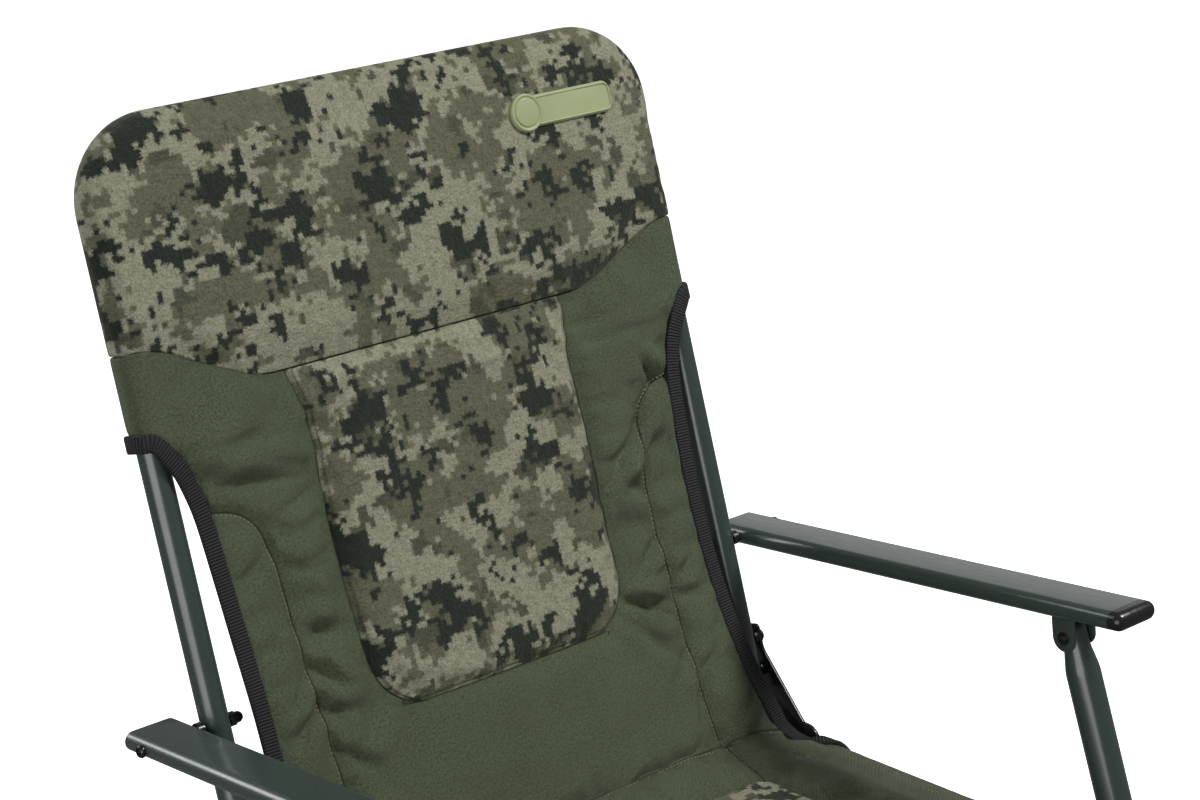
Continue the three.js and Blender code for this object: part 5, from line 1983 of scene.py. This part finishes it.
@dataclass
class Leg:
    """An outer leg with its clamp, telescopic inner leg and swivel foot."""

    label: str
    plane: Plane
    middle: float
    length: float
    crown: list
    body: str
    outer_name: str
    facing: int
    radius: float = 13.5 * MM
    shown: float = 80 * MM
    collar: float = 17.5 * MM
    collar_length: float = 32 * MM
    collar_below: float = 4 * MM
    collar_neck: float = 11.4 * MM
    groove_depth: float = 0.8 * MM
    boss_level: float = 13 * MM
    boss_radius: float = 7.5 * MM
    boss_reach: float = 21.5 * MM
    stem_start: float = 11.3 * MM
    knob_radius: float = 15 * MM
    knob_height: float = 11 * MM
    knob_dip: float = 2.2 * MM
    knob_lobes: int = 5
    inner_radius: float = 11 * MM
    inner_above: float = 140 * MM
    inner_below: float = 6 * MM
    foot_pin: float = 22 * MM
    ear_radius: float = 8 * MM
    ear_inner: float = 11.3 * MM
    ear_thickness: float = 4 * MM
    sole: tuple = ((0, 1), (8, 1), (8.6, 0), (13, 0), (13.6, 1), (17, 1), (17.6, 0), (22, 0),
                   (22.6, 1), (24, 1), (24.6, 0), (26, 0), (27, 1.5), (27, 4), (24, 6.7), (14, 7),
                   (11, 7.6), (0, 7.6))
    lug_place: tuple = (-180.275 * MM, 29.205 * MM)
    lug_inner: float = 275.95 * MM
    lug_thickness: float = 5 * MM
    lug_radius: float = 12 * MM
    lug_half: float = 27 * MM
    lug_sink: float = 2 * MM

    @property
    def base(self) -> Matrix:
        """The leg's upper pin, with Z up along the leg."""
        return axis_matrix(self.plane.at(self.middle, 0), self.plane.along, ACROSS)

    @property
    def bottom(self) -> float:
        """The outer leg's lower end, from its upper pin."""
        return self.shown - self.length

    def outer(self) -> None:
        """Makes the outer leg with its shaped top."""
        piece = Piece().turned([(0, self.bottom), (self.radius, self.bottom)], self.base)
        piece.turned([(0, self.bottom + 6 * MM), (self.radius, self.bottom + MM), *self.crown],
                     self.base, 44, 4 * MM)
        if self.facing > 0:
            self.lug(piece)
        piece.finished(f"{self.outer_name}_round", Finish.PAINT, self.body,
                       replaces=[self.outer_name])

    def lug(self, piece: Piece) -> None:
        """Adds the welded lug that turns on the seat's tube.

        Args:
            piece: the outer leg, to which it is added.
        """
        along = self.lug_place[0]
        outline = [(along + self.lug_half, -self.lug_sink),
                   *arc(self.lug_place, self.lug_radius, range(0, 181, 15)),
                   (along - self.lug_half, -self.lug_sink)]
        place = plate_start(self.lug_inner, self.lug_thickness, math.copysign(1, self.middle))
        piece.plate(outline, self.lug_thickness, self.plane.side_on(place), 0.6 * MM)

    def clamp(self) -> None:
        """Makes the collar round the leg's end, and the lobed knob on its stem."""
        low = self.bottom - self.collar_below
        high = low + self.collar_length
        bore, wide = self.radius + FIT, self.collar
        groove = wide - self.groove_depth
        rows = [(wide, 3.0), (groove, 3.6), (groove, 4.6), (wide, 5.2)]
        neck, stop = self.collar_neck, self.bottom - FIT
        section = [(neck, low), (wide, low), *((radius, low + rise * MM) for radius, rise in rows),
                   *((radius, high - rise * MM) for radius, rise in reversed(rows)),
                   (wide, high), (bore, high), (bore, stop), (neck, stop), (neck, low)]
        piece = Piece().turned(section, self.base, 44, 0.5 * MM)
        direction = self.plane.out * self.facing
        centre = self.plane.at(self.middle, self.bottom + self.boss_level)
        out = axis_matrix(centre, direction, ACROSS)
        piece.turned([(0, bore), (self.boss_radius, bore), (self.boss_radius, self.boss_reach),
                      (0, self.boss_reach)], out, 32, 0.4 * MM)
        piece.finished(f"clamp_ring_{self.label}", Finish.PLASTIC, self.body,
                       replaces=[f"clamp_collar_{self.label}"])
        face = self.boss_reach + FIT
        lobes = []
        for step in range(60):
            turn = FULL_TURN * step / 60
            dip = 0.5 - 0.5 * math.cos(self.knob_lobes * turn)
            radius = self.knob_radius - self.knob_dip * dip
            lobes.append((radius * math.cos(turn), radius * math.sin(turn)))
        knob = Piece().plate(lobes, self.knob_height, out @ Matrix.Translation((0, 0, face)),
                             1.4 * MM)
        top = face + self.knob_height
        stem = [(0, self.stem_start), (PIN, self.stem_start), (PIN, face + MM), (0, face + MM)]
        knob.turned(stem, out, 24)
        button = [(0, -2), (7.2, -2), (7.2, 0.2), (6.2, 0.8), (0, 1)]
        knob.turned(profile(button, top), out, 36, 0.3 * MM)
        knob.finished(f"knob_{self.label}", Finish.PLASTIC, f"clamp_knob_{self.label}",
                      replaces=[f"clamp_knob_{self.label}"])

    def inner(self) -> None:
        """Makes the inner leg that slides in the outer one."""
        low, high = -self.length - self.inner_below, self.bottom + self.inner_above
        rows = [(0, low), (self.inner_radius, low), (self.inner_radius, high), (0, high)]
        piece = Piece().turned(rows, self.base, 36, MM)
        piece.finished(f"inner_tube_{self.label}", Finish.PAINT, f"inner_leg_{self.label}",
                       replaces=[f"inner_leg_{self.label}"])

    def foot(self) -> None:
        """Makes the swivel foot: a round sole with a tread, two ears and a pin."""
        pin = self.plane.at(self.middle, -self.length)
        floor = -self.foot_pin
        piece = Piece().turned(profile(self.sole, floor), Matrix.Translation(pin), 48, 0.4 * MM)
        radius, low = self.ear_radius, floor + 4 * MM
        ear = [(radius, low), *arc((0, 0), radius, range(0, 181, 12)), (-radius, low)]
        upright = side_plane(pin, Vector((0, 1, 0)))
        for place in (self.ear_inner, -self.ear_inner - self.ear_thickness):
            piece.plate(ear, self.ear_thickness, upright.side_on(self.middle + place), 0.8 * MM)
        axis = axis_matrix(pin, ACROSS)
        head = [(3, 15.2), (4, 15.2), (3.6, 16.3), (0, 16.3)]
        mirrored = [(radius, -height) for radius, height in reversed(head)]
        piece.turned(profile([*mirrored, *head]), axis, 28)
        piece.finished(f"swivel_foot_{self.label}", Finish.PLASTIC, f"foot_{self.label}",
                       replaces=[f"foot_{self.label}"])

    def build(self) -> None:
        """Makes all of the leg's pieces."""
        self.outer()
        self.clamp()
        self.inner()
        self.foot()


FRONT_CROWN = profile(((13.5, -28), (10.2, -9), (10.2, 6), (6.8, 10), (0, 10)))
REAR_CROWN = profile(((13.5, 4), (11, 11), (0, 13.5)))
FRONT_LENGTH, REAR_LENGTH = 538.91 * MM, 329.32 * MM
BAR_LEVEL, BAR_RADIUS = -150.02 * MM, 9.5 * MM


def build_legs() -> None:
    """Makes the four legs and the bar between the rear ones."""
    for hand, side in SIDES.items():
        Leg(f"front_{hand}", FRONT_LEG, side * ARM_MIDDLE, FRONT_LENGTH, FRONT_CROWN,
            f"front_leg_{hand}", f"front_leg_{hand}", 1).build()
        Leg(f"rear_{hand}", REAR_LEG, side * REAR_MIDDLE, REAR_LENGTH, REAR_CROWN,
            "rear_legs", f"rear_leg_{hand}", -1).build()
    reach = REAR_MIDDLE - 11 * MM
    ends = [REAR_LEG.at(x, BAR_LEVEL) for x in (-reach, reach)]
    piece = Piece().swept(ring(BAR_RADIUS, 32), stations_along(ends, [REAR_LEG.out] * 2))
    piece.finished("rear_bar", Finish.PAINT, "rear_legs", replaces=["rear_crossbar"])


# Studio

@dataclass(frozen=True)
class Studio:
    """Plain pale floor, soft lights and the camera."""

    camera_place: tuple = (-1.19864, -1.368117, 1.39659)
    azimuth: float = math.radians(-39.949)
    elevation: float = math.radians(19.382)
    roll: float = math.radians(-1.545)
    lens: float = 81.8
    sensor: float = 36.0
    far: float = 60.0
    floor_half: float = 16.0
    white: tuple = (1.0, 1.0, 1.0, 1.0)
    sky_light: float = 0.14
    sky_seen: float = 1.0
    lights: tuple = (("key", (1.7, -1.2, 3.0), (0, 0, 0.6), (0.7, 0.7), 92),
                     ("softbox", (-2.9, -1.4, 1.15), (-0.25, 0.15, 0.6), (3.0, 2.0), 64),
                     ("rim", (2.75, 1.9, 1.3), (0.2, 0, 0.6), (2.0, 1.4), 4.5),
                     ("rear", (-1.5, 2.8, 2.3), (0, 0.1, 0.6), (1.6, 1.6), 46))

    def camera(self) -> None:
        """Sets the camera at the photograph's viewing angle."""
        ahead = Vector((-math.sin(self.azimuth) * math.cos(self.elevation),
                        math.cos(self.azimuth) * math.cos(self.elevation),
                        -math.sin(self.elevation)))
        right = ahead.cross(Vector((0, 0, 1))).normalized()
        up = right.cross(ahead)
        turned_right = right * math.cos(self.roll) + up * math.sin(self.roll)
        turned_up = up * math.cos(self.roll) - right * math.sin(self.roll)
        data = bpy.data.cameras.new("camera")
        data.sensor_fit = "HORIZONTAL"
        data.sensor_width = self.sensor
        data.lens = self.lens
        data.clip_end = self.far
        camera = bpy.data.objects.new("camera", data)
        camera.matrix_world = from_axes(turned_right, turned_up, -ahead,
                                        Vector(self.camera_place))
        bpy.context.scene.collection.objects.link(camera)
        bpy.context.scene.camera = camera

    def area_light(self, name: str, place: tuple, target: tuple, size: tuple,
                   power: float) -> None:
        """Adds one soft light that looks at a target.

        Args:
            name: its name.
            place: where it hangs.
            target: where it looks.
            size: its sides in metres.
            power: its power in watts.
        """
        data = bpy.data.lights.new(name, "AREA")
        data.shape = "RECTANGLE"
        data.size, data.size_y = size
        data.energy = power
        light = bpy.data.objects.new(name, data)
        light.location = place
        aim = Vector(target) - Vector(place)
        light.rotation_euler = aim.to_track_quat("-Z", "Y").to_euler()
        bpy.context.scene.collection.objects.link(light)

    def build(self) -> None:
        """Makes the camera, the floor and the lights."""
        self.camera()
        bm = bmesh.new()
        bmesh.ops.create_grid(bm, x_segments=1, y_segments=1, size=self.floor_half)
        floor = as_object("floor", bm)
        floor.data.materials.append(Sheet("studio_floor").wear(
            {"Base Color": (0.93, 0.93, 0.93, 1), "Roughness": 0.9, "Specular IOR Level": 0.1,
             "Emission Color": self.white, "Emission Strength": 0.9}))
        floor.visible_diffuse = floor.visible_glossy = False
        world = bpy.data.worlds.new("studio")
        world.use_nodes = True
        background = world.node_tree.nodes["Background"]
        background.inputs["Color"].default_value = self.white
        path = world.node_tree.nodes.new("ShaderNodeLightPath")
        glow = world.node_tree.nodes.new("ShaderNodeMath")
        glow.operation = "MULTIPLY_ADD"
        glow.inputs[1].default_value = self.sky_seen - self.sky_light
        glow.inputs[2].default_value = self.sky_light
        world.node_tree.links.new(path.outputs["Is Camera Ray"], glow.inputs[0])
        world.node_tree.links.new(glow.outputs[0], background.inputs["Strength"])
        bpy.context.scene.world = world
        for row in self.lights:
            self.area_light(*row)
        bpy.context.scene.view_settings.view_transform = "Standard"


def main() -> None:
    """Builds the chair's pieces in order and reports them."""
    logging.basicConfig(level=logging.INFO, format="%(relativeCreated)d %(name)s: %(message)s")
    Studio().build()
    BackFrame().build()
    SeatFrame().build()
    for hand in SIDES:
        Armrest(hand).build()
    build_legs()
    BackCover().build()
    SeatCover().build()


if __name__ == "__main__":
    main()
